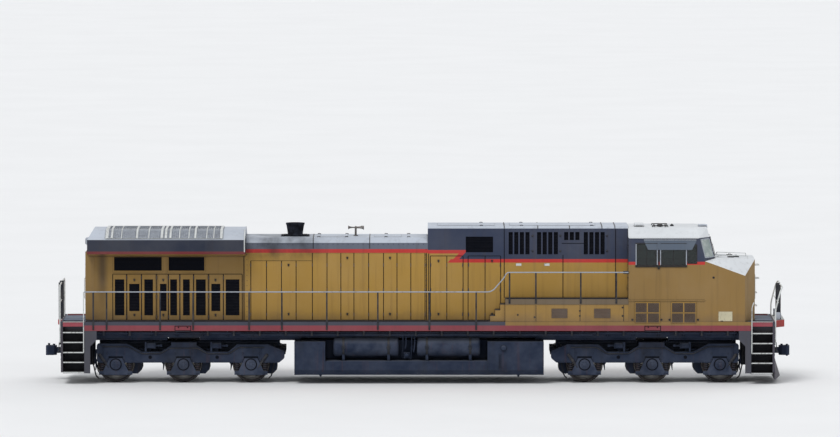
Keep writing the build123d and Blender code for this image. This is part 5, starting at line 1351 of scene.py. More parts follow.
class MakeDoorFittings(bpy.types.Operator):
    """Hinges, latches, rows of bolts and blank plates on the hood sides"""
    bl_idname = "locomotive.make_door_fittings"
    bl_label = "Hood door fittings"

    def execute(self, context):
        hinges, latches, seams, bolts = Shape(), Shape(), Shape(), []
        for side in (-1, 1):
            wall = side * DOOR_Y
            joint = (wall - side * 0.012, wall - side * 0.006)
            for edges, heights in HINGES:
                for x in edges:
                    for z in heights:
                        hinges.turned((x, wall, z - 0.05), (0, 0, 1), ((0.0, 0.010), (0.10, 0.010)), 8)
            for x, z in LATCHES:
                for half, low, high in ((0.026, 0.006, 0.030), (0.018, -0.034, -0.004)):
                    latches.box(about(x, half), (wall, wall + side * 0.016), (z + low, z + high))
            for x, low, high in SEAMS:
                if x < LEFT_END or side < 0:
                    seams.box(about(x, 0.010), joint, (low, high))
            for x0, x1, z in TOP_SEAMS:
                if x1 < LEFT_END or side < 0:
                    seams.box((x0, x1), joint, about(z, 0.008))
            places = [(start + index * pitch, y, z) for start, pitch, count, y, z in BOLT_ROWS
                      for index in range(count)]
            places = [place for place in places if place[0] < LEFT_END or side < 0]
            places += [(x, HOOD_Y, 1.95 + index * 0.155) for x in (-5.10, 0.25) for index in range(14)]
            bolts += [((x, side * (y + 0.002), z), (0, side, 0)) for x, y, z in places]
        # Latches of the slotted vents, the cab base and the boxes
        for x in (3.424, 4.254, 5.644):
            for z in (4.370, 3.914):
                latches.turned((x, -HOOD_Y, z), (0, -1, 0),
                               ((0.0, 0.026), (0.014, 0.026), (0.020, 0.014), (0.034, 0.014), (0.036, 0.001)),
                               14)
        for x in (6.393, 7.261, 7.500, 8.350):
            for side in (-1, 1):
                latches.turned((x, side * CAB_Y, 1.905), (0, side, 0),
                               ((-0.01, 0.028), (0.012, 0.028), (0.014, 0.001)),
                               12)
        box_y = -(SILL_Y - 0.010)
        for x, z in ((2.98, 2.05), (3.48, 1.98), (4.83, 2.17), (4.83, 2.02), (6.10, 2.02), (6.10, 2.27)):
            latches.turned((x, box_y, z), (0, -1, 0), ((-0.01, 0.024), (0.008, 0.024), (0.009, 0.001)), 12)
        # The cabinet's doors on the left
        joint = (CAB_Y - 0.002, CAB_Y + 0.004)
        for index in range(1, 5):
            x = CABINET_REAR + index * CABINET_PITCH
            seams.box(about(x, 0.010), joint, (DOOR_FOOT, 3.55))
            for z in (2.10, 3.30):
                latches.box((x - 0.10, x - 0.05), (CAB_Y + 0.008, CAB_Y + 0.020), about(z, 0.05))
        seams.box((3.012, CAB_REAR - 0.012), joint, (3.556, 3.572))
        finished("door_hinges", hinges, "band")
        finished("door_latches", latches, "dark", bevel=0.002)
        finished("door_seams", seams, "black")
        finished("hood_bolts", bolted(Shape(), "band", bolts, 0.6, Height=0.008), "band")

        panels, vents, plates = Shape(), Shape(), Shape()
        for x in (3.522, 4.836, 6.135):
            panels.box(about(x, 0.006), (box_y - 0.004, box_y), (1.86, 2.34))
        finished("box_seams", panels, "dark")
        heights = (1.975, 2.215)
        for ends in ((4.007, 4.439), (5.275, 5.721)):
            vents.box(ends, (box_y - 0.003, box_y + 0.001), heights)
            louvres(vents, ends, box_y - 0.002, heights, "mesh", depth=0.014)
            frame_round(vents, ends, (box_y - 0.008, box_y), heights, 0.018)
        finished("box_vents", vents, "mesh", slot="body_yellow")
        for x in (3.013, 3.855):
            plates.box(about(x, 0.08), (-HOOD_Y - 0.004, -HOOD_Y), (3.475, 3.545))
        finished("blank_plates", plates, "white", bevel=0.001)
        side_plate = Shape().box((8.962, 9.373), (-CAB_Y - 0.004, -CAB_Y), (1.864, 2.147))
        finished("side_plate", side_plate, "plate", bevel=0.002)
        return {"FINISHED"}


STACK_X, HORN_X, HORN_Z = -3.671, -1.86, 4.56
STACK_SECTION = ((0.036, 0.236), (0.060, 0.226), (0.180, 0.242), (0.335, 0.268), (0.345, 0.282),
                 (0.388, 0.282), (0.390, 0.262), (0.345, 0.250), (0.060, 0.205), (0.058, 0.002))
HORN_FOOT = ((0.0, 0.07), (0.03, 0.07), (0.035, 0.032), (0.26, 0.030), (0.262, 0.002))
BELL_SECTION = ((0.0, 0.002), (0.0, 0.036), (0.05, 0.038), (0.055, 0.020), (0.14, 0.022), (0.20, 0.032),
                (0.24, 0.048), (0.262, 0.064), (0.268, 0.066), (0.266, 0.060), (0.235, 0.042), (0.20, 0.026),
                (0.12, 0.012), (0.118, 0.002))


class MakeRoofFittings(bpy.types.Operator):
    """Exhaust stack, horn, lifting eyes, roof seams and the fittings on the cab roof"""
    bl_idname = "locomotive.make_roof_fittings"
    bl_label = "Roof fittings"

    def execute(self, context):
        stack = Shape().turned((STACK_X, 0, ENGINE_TOP), (0, 0, 1), STACK_SECTION, 56)
        stack.box((-4.091, -3.251), (-0.33, 0.33), (ENGINE_TOP, ENGINE_TOP + 0.022))
        stack.box((-4.02, -3.32), (-0.29, 0.29), (ENGINE_TOP + 0.02, ENGINE_TOP + 0.040))
        bolted(stack, "soot", [((x, y, ENGINE_TOP + 0.028), (0, 0, 1))
                               for x in (-4.05, -3.85, -3.67, -3.49, -3.29) for y in (-0.31, 0.31)])
        finished("exhaust_stack_flared", stack, "soot", "root", ["exhaust_stack"])

        horn = Shape().turned((HORN_X, 0, ENGINE_TOP - 0.01), (0, 0, 1), HORN_FOOT, 20)
        horn.turned((HORN_X, -0.18, HORN_Z), (0, 1, 0),
                    ((0.0, 0.002), (0.0, 0.026), (0.36, 0.026), (0.36, 0.002)), 16)
        for y, way, size in ((-0.145, 1, 1.0), (0.0, -1, 0.92), (0.145, 1, 0.82)):
            horn.turned((HORN_X - way * 0.02, y, HORN_Z), (way, 0, 0),
                        [(distance * size, radius * size) for distance, radius in BELL_SECTION], 24)
        finished("horn_bells", horn, "steel", "root", ["horn"])
        self.hood_roofs()
        self.cab_roof()
        return {"FINISHED"}

    def hood_roofs(self):
        """Lifting eyes, seams over the bevelled eaves and hatch lids."""
        eyes, seams, lids = Shape(), Shape(), Shape()
        for x in (-2.956, -2.126, -0.948, -0.272, 1.9, 5.2, 3.1):
            z = ENGINE_TOP if x < EQUIPMENT_REAR else EQUIPMENT_TOP
            for y in (-0.66, 0.66):
                eyes.tube([(x - 0.04, y, z - 0.01), (x - 0.04, y, z + 0.022), (x + 0.04, y, z + 0.022),
                           (x + 0.04, y, z - 0.01)], 0.010, 8, 0.02)
        bevel_y = HOOD_Y - 0.180
        right = [(-bevel_y, ENGINE_TOP + 0.004), (-HOOD_Y - 0.003, 4.160), (-HOOD_Y - 0.003, 3.99),
                 (-HOOD_Y + 0.002, 3.99), (-HOOD_Y + 0.002, 4.150), (-bevel_y, ENGINE_TOP - 0.01)]
        arch = [(-y, z) for y, z in right[2::-1]] + right + [(-y, z) for y, z in right[:2:-1]]
        for x in (-3.120, -1.436):
            seams.prism(arch, "x", about(x, 0.012))
        bevel_y = HOOD_Y - 0.130
        for x in (2.582, 3.584, 4.531, 5.498, 5.885):
            seams.prism([(-HOOD_Y, 4.592), (-bevel_y, EQUIPMENT_TOP + 0.006), (0.90, EQUIPMENT_TOP + 0.006),
                         (0.90, EQUIPMENT_TOP - 0.01), (-bevel_y, EQUIPMENT_TOP - 0.01),
                         (-HOOD_Y + 0.01, 4.58)],
                        "x", about(x, 0.012))
        for x0, x1, top in ((-2.90, -2.10, ENGINE_TOP), (-1.30, -0.50, ENGINE_TOP), (0.6, 2.3, EQUIPMENT_TOP),
                            (2.75, 5.3, EQUIPMENT_TOP)):
            lids.box((x0, x1), (-0.56, 0.56), (top, top + 0.010))
        finished("lifting_eyes", eyes, "dark")
        finished("roof_seams", seams, "dark")
        finished("roof_hatches", lids, "roof", bevel=0.003)

    def cab_roof(self):
        """Cooler with its louvres, aerial rack and domes."""
        cooler = Shape().box((6.489, 6.760), (-0.32, 0.32), (CAB_TOP, CAB_TOP + 0.088))
        finished("roof_cooler", cooler, "cab_roof", "root", ["roof_fittings"], bevel=0.012)
        rack = Shape()
        for y in (-0.322, 0.322):
            louvres(rack, (6.52, 6.73), y, (CAB_TOP + 0.01, CAB_TOP + 0.085), "dark", depth=0.012)
        for y in (-0.42, 0.42):
            rack.tube([(7.02, y, CAB_TOP), (7.02, y, CAB_TOP + 0.045), (7.48, y, CAB_TOP + 0.045),
                       (7.48, y, CAB_TOP)],
                      0.014, 8, 0.03)
        for x in (7.08, 7.25, 7.42):
            rack.box(about(x, 0.02), (-0.44, 0.44), (CAB_TOP + 0.030, CAB_TOP + 0.044))
        rack.turned((7.25, -0.18, CAB_TOP), (0, 0, 1),
                    ((0.0, 0.09), (0.05, 0.085), (0.085, 0.05), (0.094, 0.002)), 20)
        rack.turned((7.616, 0, CAB_TOP), (0, 0, 1),
                    ((0.0, 0.06), (0.03, 0.055), (0.066, 0.02), (0.070, 0.002)), 16)
        finished("roof_aerials", rack, "dark")


SIDE_WINDOWS = ((6.501, 7.135), (7.230, 8.000))
WINDOW_Z = (3.528, 4.178)
# Windscreen: foot of its middle post, run of each half out to the corner, lean back for each metre up
SCREEN_X, SCREEN_Z, SCREEN_RUN, SCREEN_LEAN = 8.554, 3.653, (0.327, 0.53), 0.2529


def frame_bars(shape, corners, *bar):
    """Bars between the corners of a frame, from each to the next and back to the first."""
    for start, end in zip(corners, corners[1:] + corners[:1]):
        shape.bar(start, end, *bar)


class MakeCabFittings(bpy.types.Operator):
    """Window frames, gutters, mirrors, awning edges, wipers and the cab door's glass"""
    bl_idname = "locomotive.make_cab_fittings"
    bl_label = "Cab fittings"

    def execute(self, context):
        frames, gaskets, trim, panes = Shape(), Shape(), Shape(), Shape()
        for side in (-1, 1):
            face = at(side, CAB_Y, -0.020, 0.012)
            z0, z1 = WINDOW_Z
            for x0, x1 in SIDE_WINDOWS:
                for x in (x0, x1):
                    frames.box(about(x, 0.014), face, (z0 - 0.012, z1 + 0.012))
                for z in (z0, z1):
                    gaskets.box((x0 - 0.014, x1 + 0.014), face, about(z, 0.014))
                # Dividing bar of the sliding pane
                gaskets.box(about((x0 + x1) / 2, 0.010), at(side, CAB_Y, -0.030, -0.012), (z0, z1))
            # Quarter light ahead of them
            frame_round(gaskets, (8.040 + 0.012, 8.310 - 0.012), at(side, CAB_Y, -0.015, 0.006),
                        (3.585 + 0.012, 4.140 - 0.012), 0.022)
            # Arm rests under the windows, the gutter at the eave, and a painted highlight along the awning's top
            # edge
            gaskets.box((6.48, 8.02), at(side, CAB_Y, 0.0, 0.022), (3.478, 3.502))
            trim.box((CAB_REAR + 0.02, 8.37), at(side, CAB_Y, 0.0, 0.016), about(CAB_EAVE, 0.012))
            frames.box((6.733, 8.296), at(side, CAB_Y, -0.002, 0.010), (4.276, 4.300))
            # Mirror with its bracket between the windows
            wall, tip = at(side, CAB_Y, 0.0, 0.018)
            gaskets.box((7.150, 7.200), at(side, CAB_Y, 0.0, 0.026), (3.420, 3.523))
            gaskets.tube([(7.175, wall, 3.55), (7.175, tip, 3.58), (7.175, tip, 4.05)], 0.009, 8, 0.02)
            gaskets.box((7.145, 7.205), at(side, CAB_Y, 0.010, 0.024), (3.72, 3.90))
            # Angled panes beside the windscreen, with pale frames
            run_x, run_y = SCREEN_RUN
            quad = [Vector((SCREEN_X + share * run_x - SCREEN_LEAN * (z - SCREEN_Z),
                            side * (CAB_Y - share * run_y), z))
                    for share, z in ((0.10, 3.755), (0.90, 3.755), (0.90, 4.295), (0.10, 4.295))]
            out = Vector((run_y, side * run_x, 0.13)).normalized() * 0.006
            panes.rings([[point - out for point in quad], [point + out for point in quad]])
            frame_bars(frames, [point + out * 0.5 for point in quad], 0.030, 0.020, out)
        # The corner panes carry a painted reflection of the sky in their pale colour
        finished("corner_panes", panes, "sky_reflection_glass", bevel=0.002)
        finished("window_frames", frames, "silver", bevel=0.003)
        finished("cab_gutters", trim, "cab_roof", bevel=0.003)
        self.windscreen(gaskets)
        finished("window_gaskets", gaskets, "rubber", bevel=0.002)
        self.door()
        return {"FINISHED"}

    def windscreen(self, gaskets):
        """Surrounds and wipers on the slanted faces beside the middle post."""
        lean = Vector((8.379 - SCREEN_X, 0, CAB_EAVE - SCREEN_Z)).normalized()
        foot = Vector((SCREEN_X + SCREEN_RUN[0], 0, SCREEN_Z))
        y0, y1, z0, z1 = 0.060, 0.930, 3.790, 4.290
        for side in (-1, 1):
            def place(y, z):
                return (foot + lean * ((z - SCREEN_Z) / lean.z)).x + 0.006, side * y, z
            for start, end in (((y0, z0), (y1, z0)), ((y0, z1), (y1, z1)), ((y0, z0), (y0, z1)),
                               ((y1, z0), (y1, z1))):
                gaskets.bar(place(*start), place(*end), 0.040, 0.022, (1, 0, 0.25))
            hub = foot + lean * 0.66
            hub = Vector((hub.x + 0.03, side * 0.50, hub.z))
            gaskets.turned(hub - Vector((0.04, 0, 0)), (1, 0, 0.25),
                           ((0.0, 0.025), (0.05, 0.025), (0.052, 0.001)), 12)
            tip = hub - lean * 0.36 + Vector((0.012, side * 0.10, 0))
            gaskets.bar(hub, tip, 0.014, 0.008, (1, 0, 0))
            gaskets.bar(tip - lean * 0.17, tip + lean * 0.17, 0.012, 0.016, (1, 0, 0))

    def door(self):
        """Pane, rim and handle of the rear door."""
        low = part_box("cab_door")[0]
        x = CAB_REAR + 0.025
        pane = Shape().box(about(x, 0.004), (-1.346, -1.114), (3.564, 4.116))
        finished("cab_door_pane", pane, "glass", "cab_door")
        handle = Shape().box((low.x + 0.018, low.x + 0.024), (-1.43, -1.37), (3.05, 3.22))
        handle.tube([(x - 0.02, -1.40, 3.16), (x - 0.055, -1.40, 3.16), (x - 0.055, -1.29, 3.16)],
                    0.009, 8, 0.02)
        rim = (x - 0.026, x - 0.018)
        for z in (3.556, 4.124):
            handle.box(rim, (-1.36, -1.10), about(z, 0.012))
        for y in (-1.355, -1.105):
            handle.box(rim, about(y, 0.012), (3.556, 4.124))
        finished("cab_door_handle", handle, "dark", "cab_door")


CHAIRS = ((7.70, -0.95), (7.70, 0.95), (6.80, 0.95))
DESK = [(8.15, 2.49), (8.15, 3.30), (8.25, 3.33), (8.33, 3.45), (8.45, 3.45), (8.45, 2.49)]


class MakeCabInside(bpy.types.Operator):
    """Chairs and control stand behind the windows"""
    bl_idname = "locomotive.make_cab_inside"
    bl_label = "Cab inside"

    def execute(self, context):
        stands = Shape()
        for x, y in CHAIRS:
            stands.turned((x, y, 2.49), (0, 0, 1), ((0.0, 0.18), (0.03, 0.17), (0.05, 0.06), (0.38, 0.05)),
                          20)
            stands.box((x - 0.22, x + 0.20), about(y, 0.22), (2.86, 2.90))
            for arm in (y - 0.25, y + 0.25):
                stands.tube([(x - 0.20, arm, 2.90), (x - 0.20, arm, 3.16), (x + 0.12, arm, 3.18)],
                            0.016, 8, 0.05)
        stands.prism(DESK, "y", (-1.30, -0.50))
        for index in range(4):
            stands.turned((8.295, -1.20 + index * 0.2, 3.405), (-0.8, 0, 0.6),
                          ((-0.01, 0.06), (0.012, 0.06), (0.014, 0.05), (0.010, 0.002)), 20)
        for index in range(3):
            stands.bar((8.20, -1.15 + index * 0.22, 3.31), (8.12, -1.15 + index * 0.22, 3.42), 0.018, 0.018)
        finished("control_stand", stands, "console", "root", ["cab_interior"], bevel=0.004)
        for number, (x, y) in enumerate(CHAIRS):
            pads = Shape()
            cushion(pads, (x, y, 2.96), (0.46, 0.46, 0.12))
            cushion(pads, (x - 0.22, y, 3.31), (0.11, 0.44, 0.60))
            pad = finished("chair_pads_%d" % (number + 1), pads, "vinyl")
        return {"FINISHED"}


def cushion(shape, centre, size):
    """Crowned pad with rounded sides."""
    work = bmesh.new()
    bmesh.ops.create_cube(work, size=2.0)
    bmesh.ops.subdivide_edges(work, edges=work.edges, cuts=5, use_grid_fill=True)
    points = []
    for vertex in work.verts:
        place = vertex.co / sum(abs(value) ** 6 for value in vertex.co) ** (1 / 6)
        crown = 1.0 + 0.10 * (1 - place.x ** 2) * (1 - place.y ** 2) * (1 - place.z ** 2)
        points.append([middle + axis * extent / 2 * crown * 0.96
                       for middle, axis, extent in zip(centre, place, size)])
    shape.add(points, [[vertex.index for vertex in face.verts] for face in work.faces])
    work.free()


def staple(shape, start, end, out, radius, sides=8, bend=0.03):
    """Grab iron: a bar that stands off the surface between two feet."""
    start, end, out = Vector(start), Vector(end), Vector(out)
    shape.tube([start, start + out, end + out, end], radius, sides, bend)


def nose_top(x):
    """Height of the nose's sloping top."""
    return 3.720 + (3.665 - 3.720) / (10.070 - 8.554) * (x - 8.554)


class MakeNoseFittings(bpy.types.Operator):
    """Grab irons, door edges, sand filler lids and rails on the nose"""
    bl_idname = "locomotive.make_nose_fittings"
    bl_label = "Nose fittings"

    def execute(self, context):
        irons, lids, door = Shape(), Shape(), Shape()
        back = NOSE_FRONT - 0.01
        for z, reach in ((2.25, 0.075), (2.64, 0.075), (3.07, 0.14), (3.47, 0.14)):
            staple(irons, (back, -0.18, z), (back, -0.62, z), (reach + 0.01, 0, 0), 0.011)
        staple(irons, (back, 0.72, 2.35), (back, 0.72, 3.10), (0.085, 0, 0), 0.012)
        # Slim rails on the sloping top
        for y in (-0.62, 0.62):
            ends = [Vector((x, y, nose_top(x) - 0.01)) for x in (8.98, 9.86)]
            staple(irons, *ends, (0, 0, 0.08), 0.011)
        finished("nose_grab_irons", irons, "white")
        for x, y in ((9.36, -0.40), (9.53, -0.20), (9.36, 0.40)):
            z = nose_top(x)
            lids.box(about(x, 0.09), about(y, 0.07), (z - 0.01, z + 0.03))
            staple(lids, (x - 0.03, y, z + 0.03), (x + 0.03, y, z + 0.03), (0, 0, 0.03), 0.007, 6, 0.015)
        # Round plug and step light in each side
        for side in (-1, 1):
            lids.turned((8.81, side * CAB_Y, 3.165), (0, side, 0),
                        ((-0.01, 0.030), (0.010, 0.030), (0.012, 0.001)), 16)
            lids.box((9.02, 9.10), at(side, CAB_Y, 0.0, 0.012), (1.858, 1.876))
        finished("nose_lids", lids, "dark", bevel=0.003)

        low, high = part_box("nose_door")
        face = high.x
        door.tube([(face - 0.01, 0.13, 2.68), (face + 0.03, 0.13, 2.68), (face + 0.03, 0.24, 2.68)],
                  0.010, 8, 0.02)
        door.box(about(face, 0.004), (0.10, 0.16), (2.60, 2.76))
        rim = (low.y + 0.02, high.y - 0.02)
        heights = (low.z - RAIL_Z + 0.02, high.z - RAIL_Z - 0.02)
        for z in heights:
            door.box((face - 0.004, face + 0.003), rim, about(z, 0.007))
        for y in rim:
            door.box((face - 0.004, face + 0.003), about(y, 0.007), heights)
        finished("nose_door_handle", door, "dark", "nose_door")
        return {"FINISHED"}


HEADLIGHT_X, REAR_LAMP_X = 8.642, -9.94
# Lamps: place of each pair's cans along, across and up, the way they face, a can's section;
# then the place of the lenses along and a lens's section
LAMPS = (
    ((HEADLIGHT_X - 0.02, 0.10, CAB_TOP - 0.035, 1),
     ((0.0, 0.085), (0.048, 0.085), (0.050, 0.074), (0.030, 0.070), (0.030, 0.002)),
     HEADLIGHT_X + 0.006, ((0.0, 0.071), (0.008, 0.068), (0.016, 0.045), (0.020, 0.002))),
    ((REAR_LAMP_X + 0.01, 0.11, 4.155, -1),
     ((0.0, 0.084), (0.030, 0.084), (0.032, 0.074), (0.014, 0.070), (0.014, 0.002)),
     REAR_LAMP_X - 0.002, ((0.0, 0.071), (0.006, 0.068), (0.012, 0.045), (0.015, 0.002))),
    ((PLATE_X + 0.18, 0.76, 1.955, 1),
     ((0.0, 0.094), (0.040, 0.094), (0.042, 0.082), (0.020, 0.078), (0.020, 0.002)),
     PLATE_X + 0.195, ((0.0, 0.079), (0.010, 0.074), (0.020, 0.048), (0.024, 0.002))),
)


class MakeLamps(bpy.types.Operator):
    """Headlights, ditch lights and blank number boards"""
    bl_idname = "locomotive.make_lamps"
    bl_label = "Lamps"

    def execute(self, context):
        housings, lenses, boards = Shape(), Shape(), Shape()
        x, z = HEADLIGHT_X, CAB_TOP
        housings.prism([(x - 0.23, z), (x + 0.02, z - 0.10), (x + 0.02, z + 0.03), (x - 0.03, z + 0.048),
                        (x - 0.23, z + 0.048)], "y", (-0.25, 0.25))
        housings.box((REAR_LAMP_X, -9.85), (-0.23, 0.23), (4.06, 4.25))
        for y in (-0.76, 0.76):
            housings.box((PLATE_X + 0.06, PLATE_X + 0.19), about(y, 0.11), (1.85, 2.06))
        for (x, half, z, way), can, lens_x, lens in LAMPS:
            for y in (-half, half):
                housings.turned((x, y, z), (way, 0, 0), can, 28)
                lenses.turned((lens_x, y, z), (way, 0, 0), lens, 28)
        # Blank boards beside the rear lamps
        for y in (-0.50, 0.50):
            boards.box((REAR_LAMP_X + 0.06, -9.845), about(y, 0.19), (4.06, 4.24))
        finished("lamp_housings", housings, "roof", "root", ["lamps"], bevel=0.004)
        finished("lamp_lenses", lenses, "lens")
        finished("number_boards", boards, "dark", bevel=0.004)
        return {"FINISHED"}


RAIL_LOW, RAIL_HIGH = 2.735, 3.319
# Posts of the side rails: place along X, foot and top
LOW_POSTS = [(x, SILL_LOW, RAIL_LOW)
             for x in (-9.667, -9.270, -7.676, -6.694, -5.024, -4.048, -2.709, -1.189, 0.347, 1.740)]
HIGH_POSTS = [(x, WALKWAY_LOW, RAIL_HIGH) for x in (2.734, 3.519, 4.856, 5.915)]
# Side rails: side, name, path of the tube and posts
SIDE_RAILS = (
    (-1, "right", ((-9.94, RAIL_LOW), (2.207, RAIL_LOW), (2.567, 3.152), (2.650, RAIL_HIGH),
                   (CAB_REAR, RAIL_HIGH)),
     LOW_POSTS + HIGH_POSTS),
    (1, "left", ((-9.94, RAIL_LOW), (3.0, RAIL_LOW)), LOW_POSTS),
)


class MakeHandrails(bpy.types.Operator):
    """Tubular rails on flat posts along both sides and round the end platforms"""
    bl_idname = "locomotive.make_handrails"
    bl_label = "Handrails"

    def execute(self, context):
        radius = context.scene.locomotive_sizes.rail_radius
        collar = ((0.0, 0.012), (0.0, radius), (0.05, radius), (0.05, 0.012))
        for side, name, path, feet in SIDE_RAILS:
            rail = Shape().tube([(x, side * RAIL_Y, z) for x, z in path], radius, 12, 0.14)
            posts, bolts = Shape(), []
            for x, low, high in feet:
                posts.box(about(x, 0.023), at(side, SILL_Y, 0.0, 0.012), (low + 0.03, high - 0.01))
                rail.turned((x - 0.025, side * RAIL_Y, high), (1, 0, 0), collar, 12)
                bolts += [((x, side * (SILL_Y + 0.016), z), (0, side, 0)) for z in (low + 0.07, low + 0.13)]
            # Block that holds the rail's front end to the wall ahead of it
            x, z = path[-1]
            posts.box((x - 0.16, x), sorted(at(side, RAIL_Y, -0.05, 0.009)), about(z, 0.04))
            bolted(posts, "dark", bolts, Radius=0.011, Height=0.008)
            finished("rail_" + name, rail, "silver", "root", ["handrail_" + name])
            finished("rail_" + name + "_posts", posts, "dark", slot="frame_paint", bevel=0.002)

        ends, plates = Shape(), Shape()
        stout, thin = radius * 1.25, radius * 0.8
        face = PLATE_X + stout
        edge, corner, inner = 1.440, 1.340, 0.36
        lean, top = PLATE_X + 0.16, PLATE_X + 0.23
        ends.tube([(face, edge, 1.14), (face, edge, 2.19), (lean, edge, 2.73), (top, corner, 2.86),
                   (top, inner, 2.86)],
                  stout, 12, 0.1)
        ends.tube([(-face, edge, 1.21), (-face, edge, 2.86), (-face, corner, 2.93), (-face, inner, 2.93)],
                  stout, 12, 0.1)
        # Middle rails
        ends.tube([(lean - 0.05, corner, 2.40), (lean - 0.05, inner, 2.40)], thin, 10)
        ends.tube([(-face, edge, 2.42), (-face, inner, 2.42)], thin, 10)
        # Upright grab rails beside the steps
        grab_x = 9.957
        ends.tube([(grab_x, RAIL_Y, 0.89), (grab_x, RAIL_Y, 2.27), (grab_x + 0.055, RAIL_Y, 2.42)],
                  0.015, 12, 0.06)
        ends.tube([(-grab_x, RAIL_Y, 0.933), (-grab_x, RAIL_Y, RAIL_LOW)], 0.015, 12, 0.06)
        for way, heights in ((1, (0.92, 1.50)), (-1, (0.963, 1.50))):
            for z in heights:
                ends.box(sorted((way * 9.94, way * grab_x)), (1.516, RAIL_Y), about(z, 0.015))
        # Flat inner posts that carry the end rails
        for x0, x1, low, high in ((top - 0.125, top, 1.85, 2.865),
                                  (-face - 0.09, -face + 0.035, DECK_Z, 2.935)):
            plates.box((x0, x1), about(inner, 0.009), (low, high))
        ends.both_sides()
        plates.both_sides()
        finished("end_platform_rails", ends, "white", "root", ["end_rails"])
        finished("end_rail_posts", plates, "dark", slot="frame_paint", bevel=0.003)
        return {"FINISHED"}


STEP_HEIGHTS = {1: (1.500, 1.202, 0.904, 0.611, 0.304), -1: (1.530, 1.235, 0.933, 0.638, 0.337)}
# Treads on the walkways: rear, front, middle across, width, pitch and height
WALKWAYS = [(x0, x1, y, 0.52, 0.065, DECK_Z)
            for y in (-1.00, 1.00) for x0, x1 in ((-9.90, 0.30), (0.30, 2.10))]
WALKWAYS += [(2.63, 6.25, -1.00, 0.50, 0.055, WALKWAY_TOP)]


class MakeSteps(bpy.types.Operator):
    """Gratings and white edges on the steps, tread plate on the platforms"""
    bl_idname = "locomotive.make_steps"
    bl_label = "Steps"

    def execute(self, context):
        edges, gratings, risers, walk = Shape(), Shape(), Shape(), Shape()
        for way, heights in STEP_HEIGHTS.items():
            x0, x1 = sorted(way * x for x in STEPS)
            for z in heights:
                edges.box((x0, x1), (TREAD_Y - 0.006, TREAD_Y + 0.003), (z - 0.026, z + 0.006))
                grown = pattern("slats").grown("deck", Width=x1 - x0, Height=0.56, Pitch=0.030,
                                               Thickness=0.007,
                                               Depth=0.014, Tilt=0.0)
                gratings.merge(grown, standing(((x0 + x1) / 2, TREAD_Y - 0.008, z + 0.003), (1, 0, 0),
                                               (0, -1, 0)))
            edges.box((x0, x1), (TREAD_Y - 0.006, SILL_Y - 0.002), (1.832, 1.846))
            risers.box((x0, x1), (TREAD_Y - 0.006, TREAD_Y + 0.004), (1.70, 1.832))
        for shape in (edges, gratings, risers):
            shape.both_sides()
        finished("platform_risers", risers, "riser", bevel=0.002)
        finished("step_edges", edges, "white", bevel=0.002)
        finished("step_gratings", gratings, "deck")
        for x0, x1, y, width, pitch, z in WALKWAYS:
            grown = pattern("slats").grown("deck", Width=x1 - x0, Height=width, Pitch=pitch, Thickness=0.010,
                                           Depth=0.006, Tilt=0.0)
            walk.merge(grown, standing(((x0 + x1) / 2, y, z + 0.002), (1, 0, 0), (0, y, 0)))
        finished("walkway_treads", walk, "deck")
        return {"FINISHED"}


PIN_SECTION = ((0.0, 0.024), (0.0, 0.030), (0.33, 0.030), (0.345, 0.040), (0.36, 0.030), (0.36, 0.002))
RECEPTACLE_SECTION = ((0.0, 0.09), (0.05, 0.09), (0.055, 0.105), (0.08, 0.105), (0.09, 0.07), (0.09, 0.002))


class MakeEndFittings(bpy.types.Operator):
    """Coupler knuckles and levers, receptacles and bolts on the end plates"""
    bl_idname = "locomotive.make_end_fittings"
    bl_label = "End fittings"

    def execute(self, context):
        for way, name in ((1, "front"), (-1, "rear")):
            knuckle, fittings, bolts = Shape(), Shape(), []
            # The knuckle turns on its pin beside the throat
            knuckle.turned((way * 11.07, way * -0.135, COUPLER_Z - 0.165), (0, 0, 1), PIN_SECTION, 20)
            knuckle.box(sorted((way * 10.88, way * 10.95)), (-0.06, 0.06),
                        (COUPLER_Z + 0.135, COUPLER_Z + 0.185))
            knuckle.box(sorted((way * 10.60, way * 10.84)), (-0.09, 0.09), about(COUPLER_Z, 0.085))
            body = "coupler_" + name
            finished(body + "_knuckle_pin", knuckle, "coupler", body, bevel=0.006)

            face = PLATE_X + 0.012
            for side in (-1, 1):
                x = way * (face + 0.05)
                fittings.tube([(x, side * 0.30, 1.17), (x, side * 1.20, 1.17), (x, side * 1.34, 1.06),
                               (x, side * 1.34, 0.90)], 0.013, 8, 0.06)
                for y in (0.46, 1.16):
                    fittings.box(sorted((way * (PLATE_X - 0.005), way * (face + 0.06))),
                                 about(side * y, 0.012),
                                 (1.13, 1.21))
                # Air line ends with their angle cocks, hoses left out
                for y in [side * (0.58 + index * 0.13) for index in range(3)]:
                    fittings.tube([(way * (PLATE_X - 0.01), y, 0.94), (way * (face + 0.07), y, 0.93),
                                   (way * (face + 0.10), y, 0.87)], 0.022, 10, 0.04)
                    fittings.box(sorted(at(way, face, 0.03, 0.08)), about(y, 0.010), (0.95, 1.00))
                places = [(0.40 + index * 0.14, 1.46) for index in range(8)]
                places += [(1.46, 0.72 + index * 0.13) for index in range(7)]
                bolts += [((way * (PLATE_X + 0.004), side * y, z), (way, 0, 0)) for y, z in places]
            # Electric receptacle in the middle above the coupler
            fittings.turned((way * (PLATE_X - 0.005), way * -0.52, 1.33), (way, 0, 0), RECEPTACLE_SECTION, 20)
            bolted(fittings, "dark", bolts)
            finished(name + "_plate_fittings", fittings, "dark", bevel=0.002)
        return {"FINISHED"}


